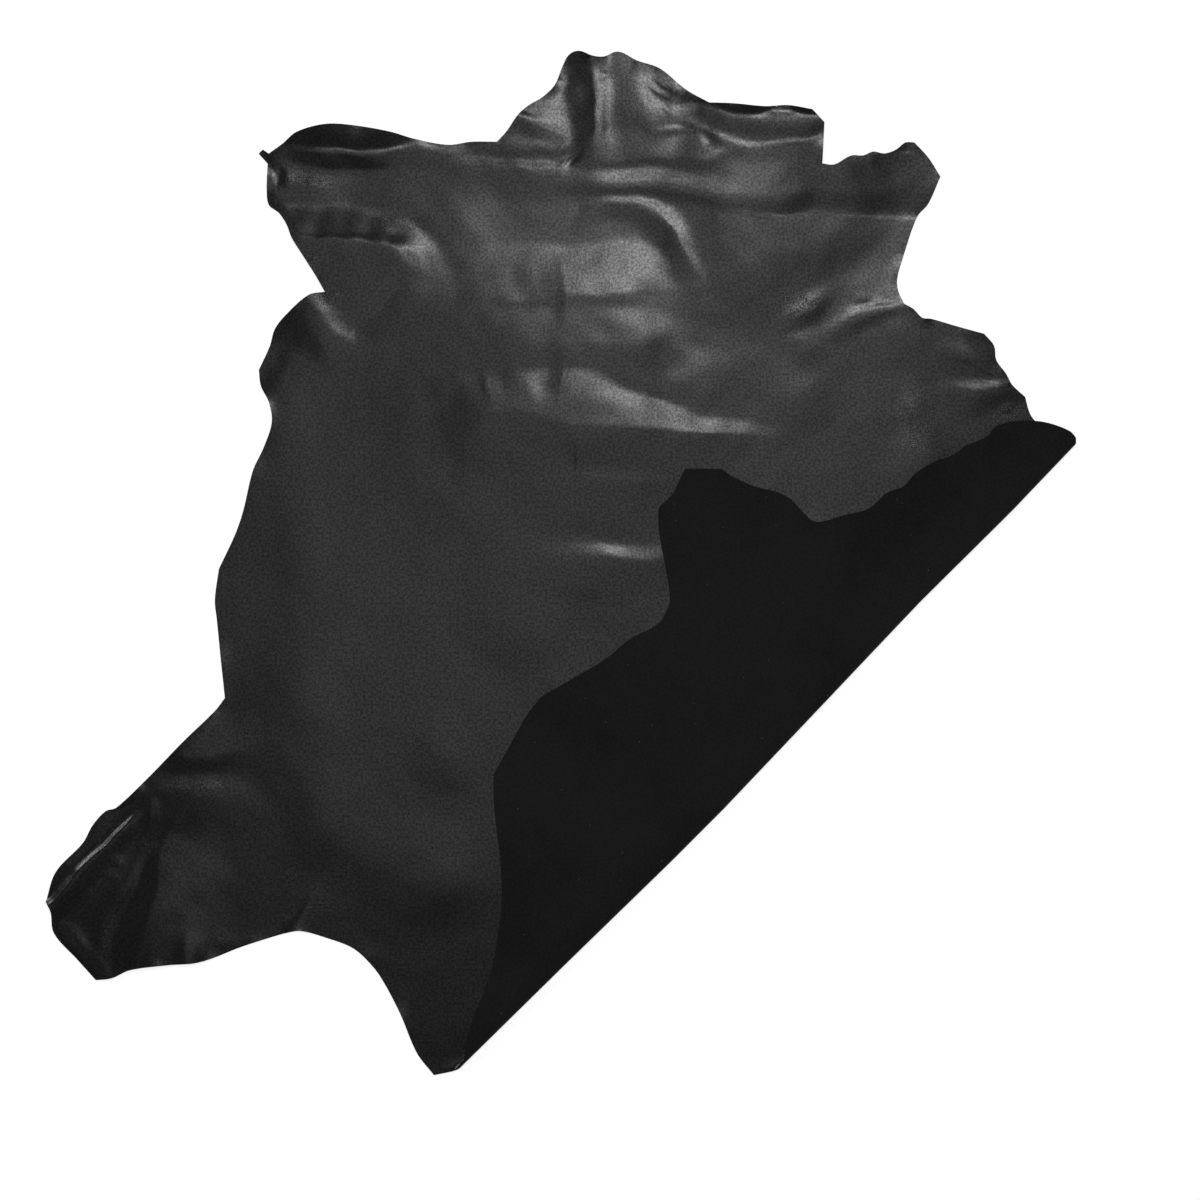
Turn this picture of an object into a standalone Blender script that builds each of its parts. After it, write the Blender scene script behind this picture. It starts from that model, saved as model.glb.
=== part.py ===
"""A whole black leather hide, lying grain side up with its right-hand side folded over.

Sizes are in millimetres until the mesh is finished, and then become metres. A place on the hide
is given as it lies on the cutting table: `across` from the table's left edge and `down` from its
far edge, where the neck points. The hide is cut flat in one piece. Its right-hand side is turned
over a crease that runs from the tail to the right flank, and lies flesh side up on the body.
"""

from collections import namedtuple
from math import pi

import bpy
import numpy as np
from mathutils import Vector
from mathutils.geometry import delaunay_2d_cdt, interpolate_bezier

NAME = "hide"
MM = 0.001                        # metres in a millimetre

# Leather
THICKNESS = 1.2
COLOUR = (0.022, 0.022, 0.023, 1.0)
ROUGHNESS = 0.42

TABLE_CENTRE = (560.6, 563.0)     # across and down of the origin

# Steps between the mesh's points, and how near two sets of them may come
OUTLINE_STEP = 13.0
FOLD_STEP = 15.0
CREASE_STEP = 20.0
FIELD_STEP = 26.0
LINE_CLEARANCE = 5.0
FIELD_CLEARANCE = 15.0
FIELD_REACH = 1200.0              # of the field, each way from where the crease starts
MERGE_DISTANCE = 0.0001

# The crease that the right-hand side is folded over
CREASE_START = (463.0, 1064.0)
CREASE_END = (1073.0, 446.0)
ROLL_RADIUS = 4.5                 # of the middle of the leather, round the crease
ROLL_PARTS = 6                    # flats round the half turn
SETTLE_LENGTH = 45.0              # from the crease to where the upper layer has come down
SETTLE_PARTS = 3
LAYER_GAP = 0.8                   # air left between the layers

Bow = namedtuple("Bow", "along outward")
CREASE_BOW = (
    Bow(-40, 0.0), Bow(0, 0.0), Bow(145, 2.2), Bow(290, 5.2), Bow(365, 5.6),
    Bow(500, 3.0), Bow(650, 0.0), Bow(780, 1.4), Bow(868, 0.0), Bow(900, 0.0),
)

# Edge of the hide, clockwise. A row with corner 1 turns sharply there.
Edge = namedtuple("Edge", "across down corner")
BUTT = (
    Edge(449, 1072, 0), Edge(434, 1075, 1), Edge(417, 1053, 0), Edge(400, 1013, 0), Edge(380, 976, 0),
    Edge(365, 958, 0), Edge(351, 947, 0), Edge(327, 938, 0), Edge(302, 931, 0), Edge(290, 932, 0),
    Edge(262, 940, 0), Edge(238, 948, 0), Edge(213, 958, 0), Edge(195, 963, 0), Edge(168, 965, 0),
    Edge(130, 970, 0), Edge(112, 978, 0), Edge(96, 980, 1),
)
LEFT_HIND_SHANK = (
    Edge(77, 959, 0), Edge(54, 933, 0), Edge(51, 912, 0), Edge(46, 902, 1), Edge(56, 872, 0),
    Edge(83, 843, 0), Edge(93, 825, 0), Edge(106, 811, 0), Edge(116, 808, 0), Edge(146, 780, 0),
    Edge(184, 741, 0), Edge(215, 711, 0), Edge(225, 698, 1),
)
LEFT_FLANK = (
    Edge(221, 660, 0), Edge(217, 620, 0), Edge(215, 600, 0), Edge(219, 569, 1), Edge(235, 535, 0),
    Edge(243, 512, 0), Edge(253, 471, 0), Edge(264, 447, 0), Edge(272, 422, 0), Edge(269, 402, 0),
    Edge(261, 386, 0), Edge(259, 370, 1), Edge(270, 346, 0), Edge(275, 329, 0), Edge(287, 314, 0),
    Edge(309, 295, 0), Edge(325, 292, 1),
)
LEFT_FORE_SHANK = (
    Edge(316, 276, 0), Edge(302, 254, 0), Edge(292, 238, 0), Edge(287, 225, 0), Edge(279, 213, 0),
    Edge(269, 205, 0), Edge(267, 190, 0), Edge(268, 164, 1), Edge(259, 154, 1), Edge(263, 150, 1),
    Edge(269, 154, 1), Edge(283, 144, 0), Edge(297, 132, 0), Edge(326, 124, 0), Edge(358, 126, 0),
    Edge(391, 132, 0), Edge(414, 139, 0), Edge(448, 145, 0), Edge(471, 142, 0), Edge(497, 142, 1),
)
NECK = (
    Edge(507, 131, 0), Edge(518, 115, 0), Edge(528, 106, 0), Edge(543, 97, 0), Edge(555, 85, 0),
    Edge(562, 68, 0), Edge(569, 55, 0), Edge(579, 51, 0), Edge(592, 56, 0), Edge(604, 57, 0),
    Edge(618, 52, 0), Edge(637, 61, 0), Edge(660, 69, 0), Edge(686, 90, 0), Edge(709, 103, 1),
    Edge(735, 104, 0), Edge(765, 107, 0), Edge(788, 106, 0), Edge(812, 110, 1), Edge(824, 123, 1),
    Edge(822, 164, 1),
)
RIGHT_FORE_SHANK = (
    Edge(834, 165, 0), Edge(851, 156, 0), Edge(863, 156, 0), Edge(873, 152, 0), Edge(884, 154, 0),
    Edge(896, 150, 0), Edge(905, 143, 0), Edge(914, 143, 1), Edge(928, 158, 0), Edge(940, 177, 1),
    Edge(928, 204, 0), Edge(917, 217, 0), Edge(903, 257, 0), Edge(897, 279, 0), Edge(898, 291, 0),
    Edge(904, 304, 1),
)
RIGHT_FLANK = (
    Edge(913, 309, 0), Edge(922, 318, 0), Edge(931, 319, 0), Edge(955, 326, 0), Edge(984, 334, 1),
    Edge(994, 346, 0), Edge(996, 360, 0), Edge(1006, 374, 0), Edge(1012, 385, 0), Edge(1025, 397, 1),
    Edge(1030, 414, 0), Edge(1038, 424, 0), Edge(1050, 431, 0), Edge(1060, 439, 0), Edge(1067, 446, 0),
)
# The folded side's edge where it lies on the body, on from the right flank
FOLDED_FLANK = (
    Edge(1075, 438, 0), Edge(1070, 432, 0), Edge(1051, 424, 0), Edge(1034, 421, 0), Edge(1010, 422, 0),
    Edge(994, 428, 0), Edge(988, 436, 0), Edge(966, 446, 0), Edge(953, 455, 0), Edge(932, 463, 0),
    Edge(914, 475, 0), Edge(904, 486, 0), Edge(887, 493, 0), Edge(868, 509, 0), Edge(845, 515, 0),
    Edge(820, 522, 0), Edge(811, 520, 0), Edge(791, 500, 0), Edge(779, 493, 0), Edge(753, 486, 0),
    Edge(733, 477, 0), Edge(721, 469, 1),
)
FOLDED_SHANK = (
    Edge(685, 469, 1), Edge(678, 484, 0), Edge(673, 494, 0), Edge(659, 508, 1), Edge(659, 530, 0),
    Edge(667, 573, 0), Edge(670, 596, 0), Edge(669, 606, 0), Edge(658, 624, 0), Edge(629, 640, 0),
    Edge(606, 659, 0), Edge(572, 679, 0), Edge(541, 697, 1), Edge(527, 715, 0), Edge(517, 733, 0),
    Edge(494, 774, 1),
)
FOLDED_BUTT = (
    Edge(494, 800, 0), Edge(497, 830, 0), Edge(501, 864, 0), Edge(502, 897, 0), Edge(499, 930, 0),
    Edge(492, 968, 0), Edge(484, 992, 0), Edge(474, 1018, 0), Edge(468, 1037, 0), Edge(465, 1055, 0),
)

# The hide lies flat on the table between these places, and rises a little outside them.
RESTING_PLACES = ((88, 950), (443, 1056), (1054, 449), (912, 165), (648, 78), (320, 172))
EDGE_RISE = 0.02                  # height gained for each unit of distance outside them

# Folds in the leather. Each goes from start to end through the middle place. It rises over `left`
# on the left hand of someone walking along it and falls over `right` on the other hand, to a
# crest that is sharp at crown 0 and round at crown 1.
Fold = namedtuple("Fold", "start middle end left right height crown")
NAPE_FOLDS = (
    Fold((588, 160), (650, 162), (730, 151), 24, 12, 4.0, 0.3),
    Fold((588, 188), (650, 187), (714, 199), 18, 14, 3.0, 1.0),
    Fold((593, 208), (655, 203), (697, 264), 12, 34, 4.5, 1.0),
    Fold((724, 147), (764, 155), (828, 142), 10, 36, 3.0, 0.4),
    Fold((606, 60), (604, 108), (600, 162), 30, 22, 6.0, 0.6),
    Fold((572, 60), (562, 108), (548, 158), 20, 46, 5.0, 0.6),
    Fold((640, 132), (668, 112), (696, 94), 22, 20, 3.5, 0.8),
    Fold((480, 150), (506, 170), (552, 170), 14, 30, 3.5, 0.5),
)
BACK_FOLDS = (
    Fold((556, 300), (612, 301), (672, 294), 64, 44, 5.5, 0.0),
    Fold((470, 402), (600, 417), (752, 431), 62, 60, 7.0, 0.0),
    Fold((556, 236), (563, 300), (554, 372), 16, 22, 3.0, 0.2),
    Fold((478, 216), (464, 262), (450, 320), 44, 30, 2.5, 1.0),
    Fold((560, 557), (612, 555), (672, 550), 20, 28, 4.0, 0.8),
)
RIGHT_SHOULDER_FOLDS = (
    Fold((694, 197), (800, 200), (918, 203), 26, 14, 3.5, 1.0),
    Fold((720, 217), (820, 219), (918, 224), 10, 48, 2.5, 0.3),
    Fold((720, 102), (768, 106), (818, 109), 20, 20, 5.0, 0.5),
    Fold((836, 322), (870, 314), (906, 303), 16, 22, 3.5, 0.7),
    Fold((776, 322), (800, 308), (824, 290), 14, 16, 3.0, 0.8),
)
LEFT_SHOULDER_FOLDS = (
    Fold((282, 144), (362, 120), (458, 146), 30, 30, 7.0, 0.6),
    Fold((266, 160), (266, 202), (298, 250), 22, 22, 5.0, 0.5),
    Fold((284, 205), (330, 204), (388, 209), 18, 30, 3.5, 1.0),
    Fold((318, 241), (388, 248), (440, 280), 12, 40, 3.5, 0.5),
    Fold((308, 300), (330, 320), (354, 344), 18, 20, 3.5, 1.0),
)
SHANK_FOLDS = (
    Fold((48, 909), (96, 861), (146, 807), 16, 26, 5.5, 0.7),
    Fold((105, 970), (122, 908), (168, 836), 16, 24, 4.5, 0.8),
    Fold((150, 794), (182, 788), (218, 786), 12, 30, 3.0, 0.6),
    Fold((164, 760), (198, 750), (238, 742), 20, 24, 3.0, 1.0),
)
BODY_FOLDS = NAPE_FOLDS + BACK_FOLDS + RIGHT_SHOULDER_FOLDS + LEFT_SHOULDER_FOLDS + SHANK_FOLDS
FOLDED_SIDE_FOLDS = (
    Fold((700, 462), (690, 540), (694, 620), 40, 60, 2.5, 1.0),
    Fold((824, 506), (806, 580), (770, 650), 60, 50, 2.0, 1.0),
    Fold((498, 768), (520, 860), (506, 960), 40, 50, 2.0, 1.0),
)
FOLD_TAPER = 3.0                  # power by which a fold's height dies away towards its ends
FOLD_ROWS = (0.3, 0.62, 1.0)      # the mesh's rows down each side, as shares of its width


class Crease:
    """The line the side is folded over, with its own two directions in the sheet."""

    start = np.array(CREASE_START)
    along = np.array(CREASE_END) - start
    along /= np.linalg.norm(along)
    outward = np.array((-along[1], along[0]))
    half_turn = pi * ROLL_RADIUS

    @classmethod
    def measures(cls, places):
        """Distance along the crease, and distance outward from where the roll begins."""
        offsets = places - cls.start
        along = offsets @ cls.along
        bow = np.interp(along, *zip(*CREASE_BOW))
        return along, offsets @ cls.outward - (bow - ROLL_RADIUS)

    @classmethod
    def place(cls, along, beyond):
        """The place that has these two measures: the inverse of `measures`."""
        outward = beyond + np.interp(along, *zip(*CREASE_BOW)) - ROLL_RADIUS
        return cls.start + np.outer(along, cls.along) + np.outer(outward, cls.outward)

    @classmethod
    def unfold(cls, places):
        """Where a place on the folded side, seen as it lies, was in the flat cut."""
        along, beyond = cls.measures(places)
        return cls.place(along, cls.half_turn - beyond)


def smooth_line(rows, step):
    """Points about `step` apart on a curve through the rows, turning sharply at corners."""
    knots = [Vector((row.across, row.down)) for row in rows]
    points = []
    for index, (here, there) in enumerate(zip(knots, knots[1:])):
        reach = (there - here).length / 3
        before = knots[index - 1] if index and not rows[index].corner else here
        after = knots[index + 2] if index + 2 < len(knots) and not rows[index + 1].corner else there
        handle_out = here + (there - before).normalized() * reach
        handle_in = there - (after - here).normalized() * reach
        parts = max(1, round(3 * reach / step))
        points += interpolate_bezier(here, handle_out, handle_in, there, parts + 1)[:-1]
    return np.array([point.to_2d() for point in points + [knots[-1]]])


def flat_outline():
    """The closed edge of the flat cut: the body's, and the folded side's turned back out."""
    body = smooth_line(BUTT + LEFT_HIND_SHANK + LEFT_FLANK + LEFT_FORE_SHANK + NECK
                       + RIGHT_FORE_SHANK + RIGHT_FLANK, OUTLINE_STEP)
    side = Crease.unfold(smooth_line(FOLDED_FLANK + FOLDED_SHANK + FOLDED_BUTT, OUTLINE_STEP))
    shares = np.linspace(0, 1, ROLL_PARTS + 1)[1:-1, None]
    over_right_end = body[-1] + shares * (side[0] - body[-1])
    over_left_end = side[-1] + shares * (body[0] - side[-1])
    return np.concatenate((body, over_right_end, side, over_left_end))


def fold_path(fold, count):
    """Points on the curve through a fold's three places, and its left-hand directions there."""
    start, middle, end = (np.array(place, float) for place in (fold.start, fold.middle, fold.end))
    share = np.linspace(0, 1, count)[:, None]
    pull = 2 * middle - (start + end) / 2
    points = (1 - share) ** 2 * start + 2 * share * (1 - share) * pull + share ** 2 * end
    headings = (1 - share) * (pull - start) + share * (end - pull)
    headings /= np.linalg.norm(headings, axis=1, keepdims=True)
    return points, np.column_stack((headings[:, 1], -headings[:, 0]))


def fold_heights(folds, places, samples=41):
    """Height of the leather's rise at each place.

    Going down a side, the share of its width that is left gives the height: its square where the
    crest is sharp, and a smooth step where the crest is round.
    """
    heights = np.zeros(len(places))
    for fold in folds:
        points, left_hand = fold_path(fold, samples)
        offsets = places[:, None] - points
        distance = np.linalg.norm(offsets, axis=2)
        nearest = distance.argmin(axis=1)
        rows = np.arange(len(places))
        on_left = (offsets[rows, nearest] * left_hand[nearest]).sum(axis=1) > 0
        reach = np.where(on_left, fold.left, fold.right)
        left_over = np.clip(1 - distance[rows, nearest] / reach, 0, 1)
        side = left_over ** 2 * (1 + 2 * fold.crown * (1 - left_over))
        from_middle = np.abs(2 * nearest / (samples - 1) - 1)
        heights += fold.height * side * (1 - from_middle ** FOLD_TAPER)
    return heights


def rise_outside(places):
    """How far each place has risen off the table, by its distance outside the resting places."""
    corners = np.array(RESTING_PLACES, float)
    sides = np.roll(corners, -1, axis=0) - corners
    outward = np.column_stack((-sides[:, 1], sides[:, 0]))
    outward /= np.linalg.norm(outward, axis=1, keepdims=True)
    distances = ((places[:, None] - corners) * outward).sum(axis=2).max(axis=1)
    return EDGE_RISE * np.maximum(distances, 0)


def fold_points(fold):
    """Points on the crest, the sides and the feet of a fold, for the mesh to follow."""
    length = np.linalg.norm(np.subtract(fold.end, fold.start))
    crest, left_hand = fold_path(fold, max(3, round(length / FOLD_STEP)))
    offsets = [share * fold.left for share in FOLD_ROWS] + [-share * fold.right for share in FOLD_ROWS]
    return np.concatenate([crest] + [crest + left_hand * offset for offset in offsets])


def crease_points():
    """Rows of points along the crease, round its roll and where the upper layer comes down."""
    rows = np.concatenate((
        np.linspace(0, Crease.half_turn, ROLL_PARTS + 1),
        Crease.half_turn + np.linspace(0, SETTLE_LENGTH, SETTLE_PARTS + 1)[1:],
    ))
    length = np.linalg.norm(np.subtract(CREASE_END, CREASE_START))
    along, beyond = np.meshgrid(np.arange(0, length, CREASE_STEP), rows)
    return Crease.place(along.ravel(), beyond.ravel())


def field_points():
    """Evenly spaced points in staggered rows that follow the crease, for the open leather."""
    row_step = FIELD_STEP * 0.75 ** 0.5
    rows = np.arange(-round(FIELD_REACH / row_step), round(FIELD_REACH / row_step))
    row, along = np.meshgrid(rows, np.arange(-FIELD_REACH, FIELD_REACH, FIELD_STEP))
    along = along + row % 2 * FIELD_STEP / 2
    return Crease.place(along.ravel(), row.ravel() * row_step)


def add_clear(points, more, distance):
    """The points, and those of the new ones that are no nearer to them than `distance`."""
    gaps = np.linalg.norm(more[:, None] - points, axis=2).min(axis=1)
    return np.concatenate((points, more[gaps >= distance]))


def flat_mesh():
    """Points and triangles of the flat cut, finer along its edge, its folds and its crease."""
    points = flat_outline()
    edge = list(range(len(points)))
    points = np.concatenate((points, RESTING_PLACES))
    points = add_clear(points, crease_points(), LINE_CLEARANCE)
    for fold in BODY_FOLDS:
        points = add_clear(points, fold_points(fold), LINE_CLEARANCE)
    for fold in FOLDED_SIDE_FOLDS:
        points = add_clear(points, Crease.unfold(fold_points(fold)), FIELD_CLEARANCE)
    points = [Vector(point) for point in add_clear(points, field_points(), FIELD_CLEARANCE)]
    points, _, triangles, *_ = delaunay_2d_cdt(points, [], [edge], 1, MERGE_DISTANCE)
    used, corners = np.unique(triangles, return_inverse=True)
    return np.array(points)[used], corners.reshape(-1, 3)


def folded_places(flat):
    """Each flat point's place and height once the side is folded over.

    The body keeps its place. The roll is a half turn about an axis one radius above the body. The
    side beyond it lies turned over, and comes down from the roll's height to just over the body.
    """
    along, beyond = Crease.measures(flat)
    turn = np.clip(beyond / ROLL_RADIUS, 0, pi)
    past_roll = np.maximum(beyond - Crease.half_turn, 0)
    lying = np.where(beyond > 0, ROLL_RADIUS * np.sin(turn) - past_roll, beyond)
    places = Crease.place(along, lying)
    body = fold_heights(BODY_FOLDS, places) * (beyond <= 0)
    resting = THICKNESS + LAYER_GAP + fold_heights(FOLDED_SIDE_FOLDS, places)
    settled = np.clip(past_roll / SETTLE_LENGTH, 0, 1)
    settled = settled ** 2 * (3 - 2 * settled)
    roll = ROLL_RADIUS * (1 - np.cos(turn))
    heights = THICKNESS / 2 + rise_outside(places) + body + roll * (1 - settled) + resting * settled
    return places, heights


def leather():
    """Black leather with a soft shine."""
    material = bpy.data.materials.new("black leather")
    material.use_nodes = True
    shader = material.node_tree.nodes["Principled BSDF"]
    shader.inputs["Base Color"].default_value = COLOUR
    shader.inputs["Roughness"].default_value = ROUGHNESS
    shader.inputs["Metallic"].default_value = 0.0
    return material


def build_hide():
    """The hide as one sheet of leather with its thickness."""
    flat, triangles = flat_mesh()
    places, heights = folded_places(flat)
    across, down = (places - TABLE_CENTRE).T
    vertices = np.column_stack((across, -down, heights)) * MM
    mesh = bpy.data.meshes.new(NAME)
    mesh.from_pydata(vertices, [], triangles)
    mesh.shade_smooth()
    mesh.materials.append(leather())
    hide = bpy.data.objects.new(NAME, mesh)
    wall = hide.modifiers.new("thickness", "SOLIDIFY")
    wall.thickness = THICKNESS * MM
    wall.offset = 0.0
    return hide


def main():
    for leftover in list(bpy.data.objects):
        bpy.data.objects.remove(leftover, do_unlink=True)
    collection = bpy.data.collections.new("Leather hide")
    bpy.context.scene.collection.children.link(collection)
    collection.objects.link(build_hide())


main()
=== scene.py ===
"""Looks of a whole black leather hide that lies grain side up with one side folded over.

The hide is one sheet. Its flat cut is meshed, its side is folded over the crease, and it takes the
height of its folds and ripples. Then it gets its thickness, with a softly shining grain side, a matt
flesh side and a raw cut edge. Sizes in the tables are in millimetres. A place is given as it lies on the
cutting table: `across` from the table's left edge and `down` from its far edge, by the neck.
"""

from collections import namedtuple
from math import pi, radians

import bpy
import numpy as np
from bpy.props import FloatProperty, FloatVectorProperty, PointerProperty
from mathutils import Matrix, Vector
from mathutils.geometry import delaunay_2d_cdt, interpolate_bezier


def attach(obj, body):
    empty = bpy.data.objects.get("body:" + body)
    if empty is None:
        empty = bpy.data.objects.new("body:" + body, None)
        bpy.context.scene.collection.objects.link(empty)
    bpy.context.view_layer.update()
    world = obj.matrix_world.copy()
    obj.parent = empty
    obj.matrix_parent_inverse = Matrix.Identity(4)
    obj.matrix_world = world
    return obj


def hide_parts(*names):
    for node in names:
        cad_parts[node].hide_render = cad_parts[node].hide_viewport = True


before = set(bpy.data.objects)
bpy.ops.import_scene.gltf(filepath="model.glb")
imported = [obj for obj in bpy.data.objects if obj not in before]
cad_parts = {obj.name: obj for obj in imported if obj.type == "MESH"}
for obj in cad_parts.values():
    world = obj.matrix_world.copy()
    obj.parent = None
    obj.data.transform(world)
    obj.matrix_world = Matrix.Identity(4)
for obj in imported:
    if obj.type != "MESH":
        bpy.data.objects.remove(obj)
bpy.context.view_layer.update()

bl_info = {
    "name": "Leather hide",
    "version": (1, 0, 0),
    "blender": (4, 5, 0),
    "location": "View3D > Sidebar > Hide",
    "description": "Lays out a folded leather hide with its grain, flesh and cut edge",
    "category": "Object",
}

NODE = "hide"  # the CAD solid that the leather stands for
MM = 0.001  # metres in a millimetre
MOST_TRIANGLES = 200000

# Floor, light and camera, in metres
WHITE = (1.0, 1.0, 1.0, 1.0)
FLOOR_REACH = 8.0
FLOOR_TOP = -0.0002
Lamp = namedtuple("Lamp", "name place aim width depth power")
LAMPS = (
    Lamp("key light", (0.24, 0.76, 2.40), (0.05, 0.05, 0.0), 0.45, 0.18, 6.6),
    Lamp("top light", (0.02, 0.03, 2.40), (0.02, 0.03, 0.0), 1.04, 0.88, 2.0),
    Lamp("side light", (-1.5, 0.7, 1.5), (-0.6, -0.35, 0.0), 0.3, 0.3, 3.6),
)
VIEW_CENTRE = (0.0394, -0.037)
VIEW_WIDTH = 1.2
VIEW_DEPTH = 100.0  # the camera sees as far as this
SENSOR_WIDTH = 36.0  # in millimetres, as the lens

TABLE_CENTRE = (560.6, 563.0)  # across and down of the origin

# Steps between the mesh's points
OUTLINE_STEP = 3.5
CREASE_STEP = 4.0
FIELD_STEP = 5.2
FIELD_REACH = 1200.0  # of the field, each way from where the crease starts
ROW_SHARE = 0.75 ** 0.5  # of a step between staggered rows, so that all steps are alike
NEAREST = 1.0  # the edge's, crease's and folds' points come no nearer than this
FIELD_NEAREST = 2.0  # nor the field's to them than this
CELLS_ACROSS = 100000  # more than there are in a row, to give each a number of its own
NEIGHBOURS = [(across, down) for across in (-1, 0, 1) for down in (-1, 0, 1)]
INSIDE_ONLY = 1  # asks the triangulation for what lies inside the outline
MERGE_DISTANCE = 0.0001

# The crease that the right-hand side is folded over
CREASE_START = (463.0, 1064.0)
CREASE_END = (1073.0, 446.0)
ROLL_PARTS = 12  # flats round the half turn
SETTLE_LENGTH = 45.0  # from the crease to where the upper layer has come down
SETTLE_PARTS = 12

Bow = namedtuple("Bow", "along outward")
CREASE_BOW = (
    Bow(-40, 0.0), Bow(0, 0.0), Bow(145, 2.2), Bow(290, 5.2), Bow(365, 5.6),
    Bow(500, 3.0), Bow(650, 0.0), Bow(780, 1.4), Bow(868, 0.0), Bow(900, 0.0),
)

# Edge of the hide, clockwise, as rows of across and down. A third column, corner, is 1 where the edge
# turns sharply.
Edge = namedtuple("Edge", "across down corner", defaults=(0,))
BUTT = (
    (449, 1072), (434, 1075, 1), (417, 1053), (400, 1013), (380, 976), (365, 958), (351, 947), (327, 938),
    (302, 931), (290, 932), (262, 940), (238, 948), (213, 958), (195, 963), (168, 965), (130, 970),
    (112, 978), (96, 980, 1),
)
LEFT_HIND_SHANK = (
    (77, 959), (54, 933), (51, 912), (46, 902, 1), (56, 872), (83, 843), (93, 825), (106, 811), (116, 808),
    (146, 780), (184, 741), (215, 711), (225, 698, 1),
)
LEFT_FLANK = (
    (221, 660), (217, 620), (215, 600), (219, 569, 1), (235, 535), (243, 512), (253, 471), (264, 447),
    (272, 422), (269, 402), (261, 386), (259, 370, 1), (270, 346), (275, 329), (287, 314), (309, 295),
    (325, 292, 1),
)
LEFT_FORE_SHANK = (
    (316, 276), (302, 254), (292, 238), (287, 225), (279, 213), (269, 205), (267, 190), (268, 164, 1),
    (259, 154, 1), (263, 150, 1), (269, 154, 1), (283, 144), (297, 132), (326, 124), (358, 126), (391, 132),
    (414, 139), (448, 145), (471, 142), (497, 142, 1),
)
NECK = (
    (507, 131), (518, 115), (528, 106), (543, 97), (555, 85), (562, 68), (569, 55), (579, 51), (592, 56),
    (604, 57), (618, 52), (637, 61), (660, 69), (686, 90), (709, 103, 1), (735, 104), (765, 107),
    (788, 106), (812, 110, 1), (824, 123, 1), (822, 164, 1),
)
RIGHT_FORE_SHANK = (
    (834, 165), (851, 156), (863, 156), (873, 152), (884, 154), (896, 150), (905, 143), (914, 143, 1),
    (928, 158), (940, 177, 1), (928, 204), (917, 217), (903, 257), (897, 279), (898, 291), (904, 304, 1),
)
RIGHT_FLANK = (
    (913, 309), (922, 318), (931, 319), (955, 326), (984, 334, 1), (994, 346), (996, 360), (1006, 374),
    (1012, 385), (1025, 397, 1), (1030, 414), (1038, 424), (1050, 431), (1060, 439), (1067, 446),
)
# The folded side's edge where it lies on the body, on from the right flank
FOLDED_FLANK = (
    (1075, 438), (1070, 432), (1051, 424), (1034, 421), (1010, 422), (994, 428), (988, 436), (966, 446),
    (953, 455), (932, 463), (914, 475), (904, 486), (887, 493), (868, 509), (845, 515), (820, 522),
    (811, 520), (791, 500), (779, 493), (753, 486), (733, 477), (721, 469, 1),
)
FOLDED_SHANK = (
    (685, 469, 1), (678, 484), (673, 494), (659, 508, 1), (659, 530), (667, 573), (670, 596), (669, 606),
    (658, 624), (629, 640), (606, 659), (572, 679), (541, 697, 1), (527, 715), (517, 733), (494, 774, 1),
)
FOLDED_BUTT = (
    (494, 800), (497, 830), (501, 864), (502, 897), (499, 930), (492, 968), (484, 992), (474, 1018),
    (468, 1037), (465, 1055),
)

# The hide lies flat on the table between these places, and rises a little outside them.
RESTING_PLACES = ((88, 950), (443, 1056), (1054, 449), (912, 165), (648, 78), (320, 172))
EDGE_RISE = 0.02  # rise for each millimetre further out, well outside them
EDGE_BEND = 80.0  # distance over which that slope builds up

# Folds in the leather. A row gives a fold's foot and crown, the shares of its sides' slope that are
# rounded at the bottom and at the top, and then the places that its crest goes smoothly through:
# across, down, left, right and height. To the left of someone who walks along the crest, the leather
# falls away over `left`, and to the right over `right`.
Fold = namedtuple("Fold", "foot crown crest")
Crest = namedtuple("Crest", "across down left right height")
NECK_FOLDS = (
    (0.2, 0.1, (593, 36, 110, 30, 2.7), (595, 76, 110, 30, 3.2), (596, 120, 110, 30, 3.3),
     (598, 148, 100, 30, 2.5), (599, 172, 90, 28, 0.0)),
    (0.3, 0.2, (595, 62, 13, 90, 0.2), (596, 84, 13, 90, 0.55), (597, 120, 13, 90, 0.6),
     (599, 148, 13, 80, 0.4), (601, 168, 13, 70, 0.0)),
    (0.3, 0.2, (635, 40, 60, 36, 1.2), (645, 76, 60, 40, 2.3), (650, 108, 60, 42, 2.6),
     (653, 134, 60, 40, 1.6), (655, 156, 60, 36, 0.0)),
    (0.3, 0.2, (716, 80, 60, 36, 1.0), (711, 108, 60, 36, 1.6), (706, 130, 60, 34, 1.0),
     (700, 150, 60, 30, 0.0)),
    (0.3, 0.2, (508, 110, 8, 12, 0.3), (526, 120, 9, 14, 0.9), (546, 129, 16, 12, 0.8),
     (564, 136, 20, 8, 0.0)),
)
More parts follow.
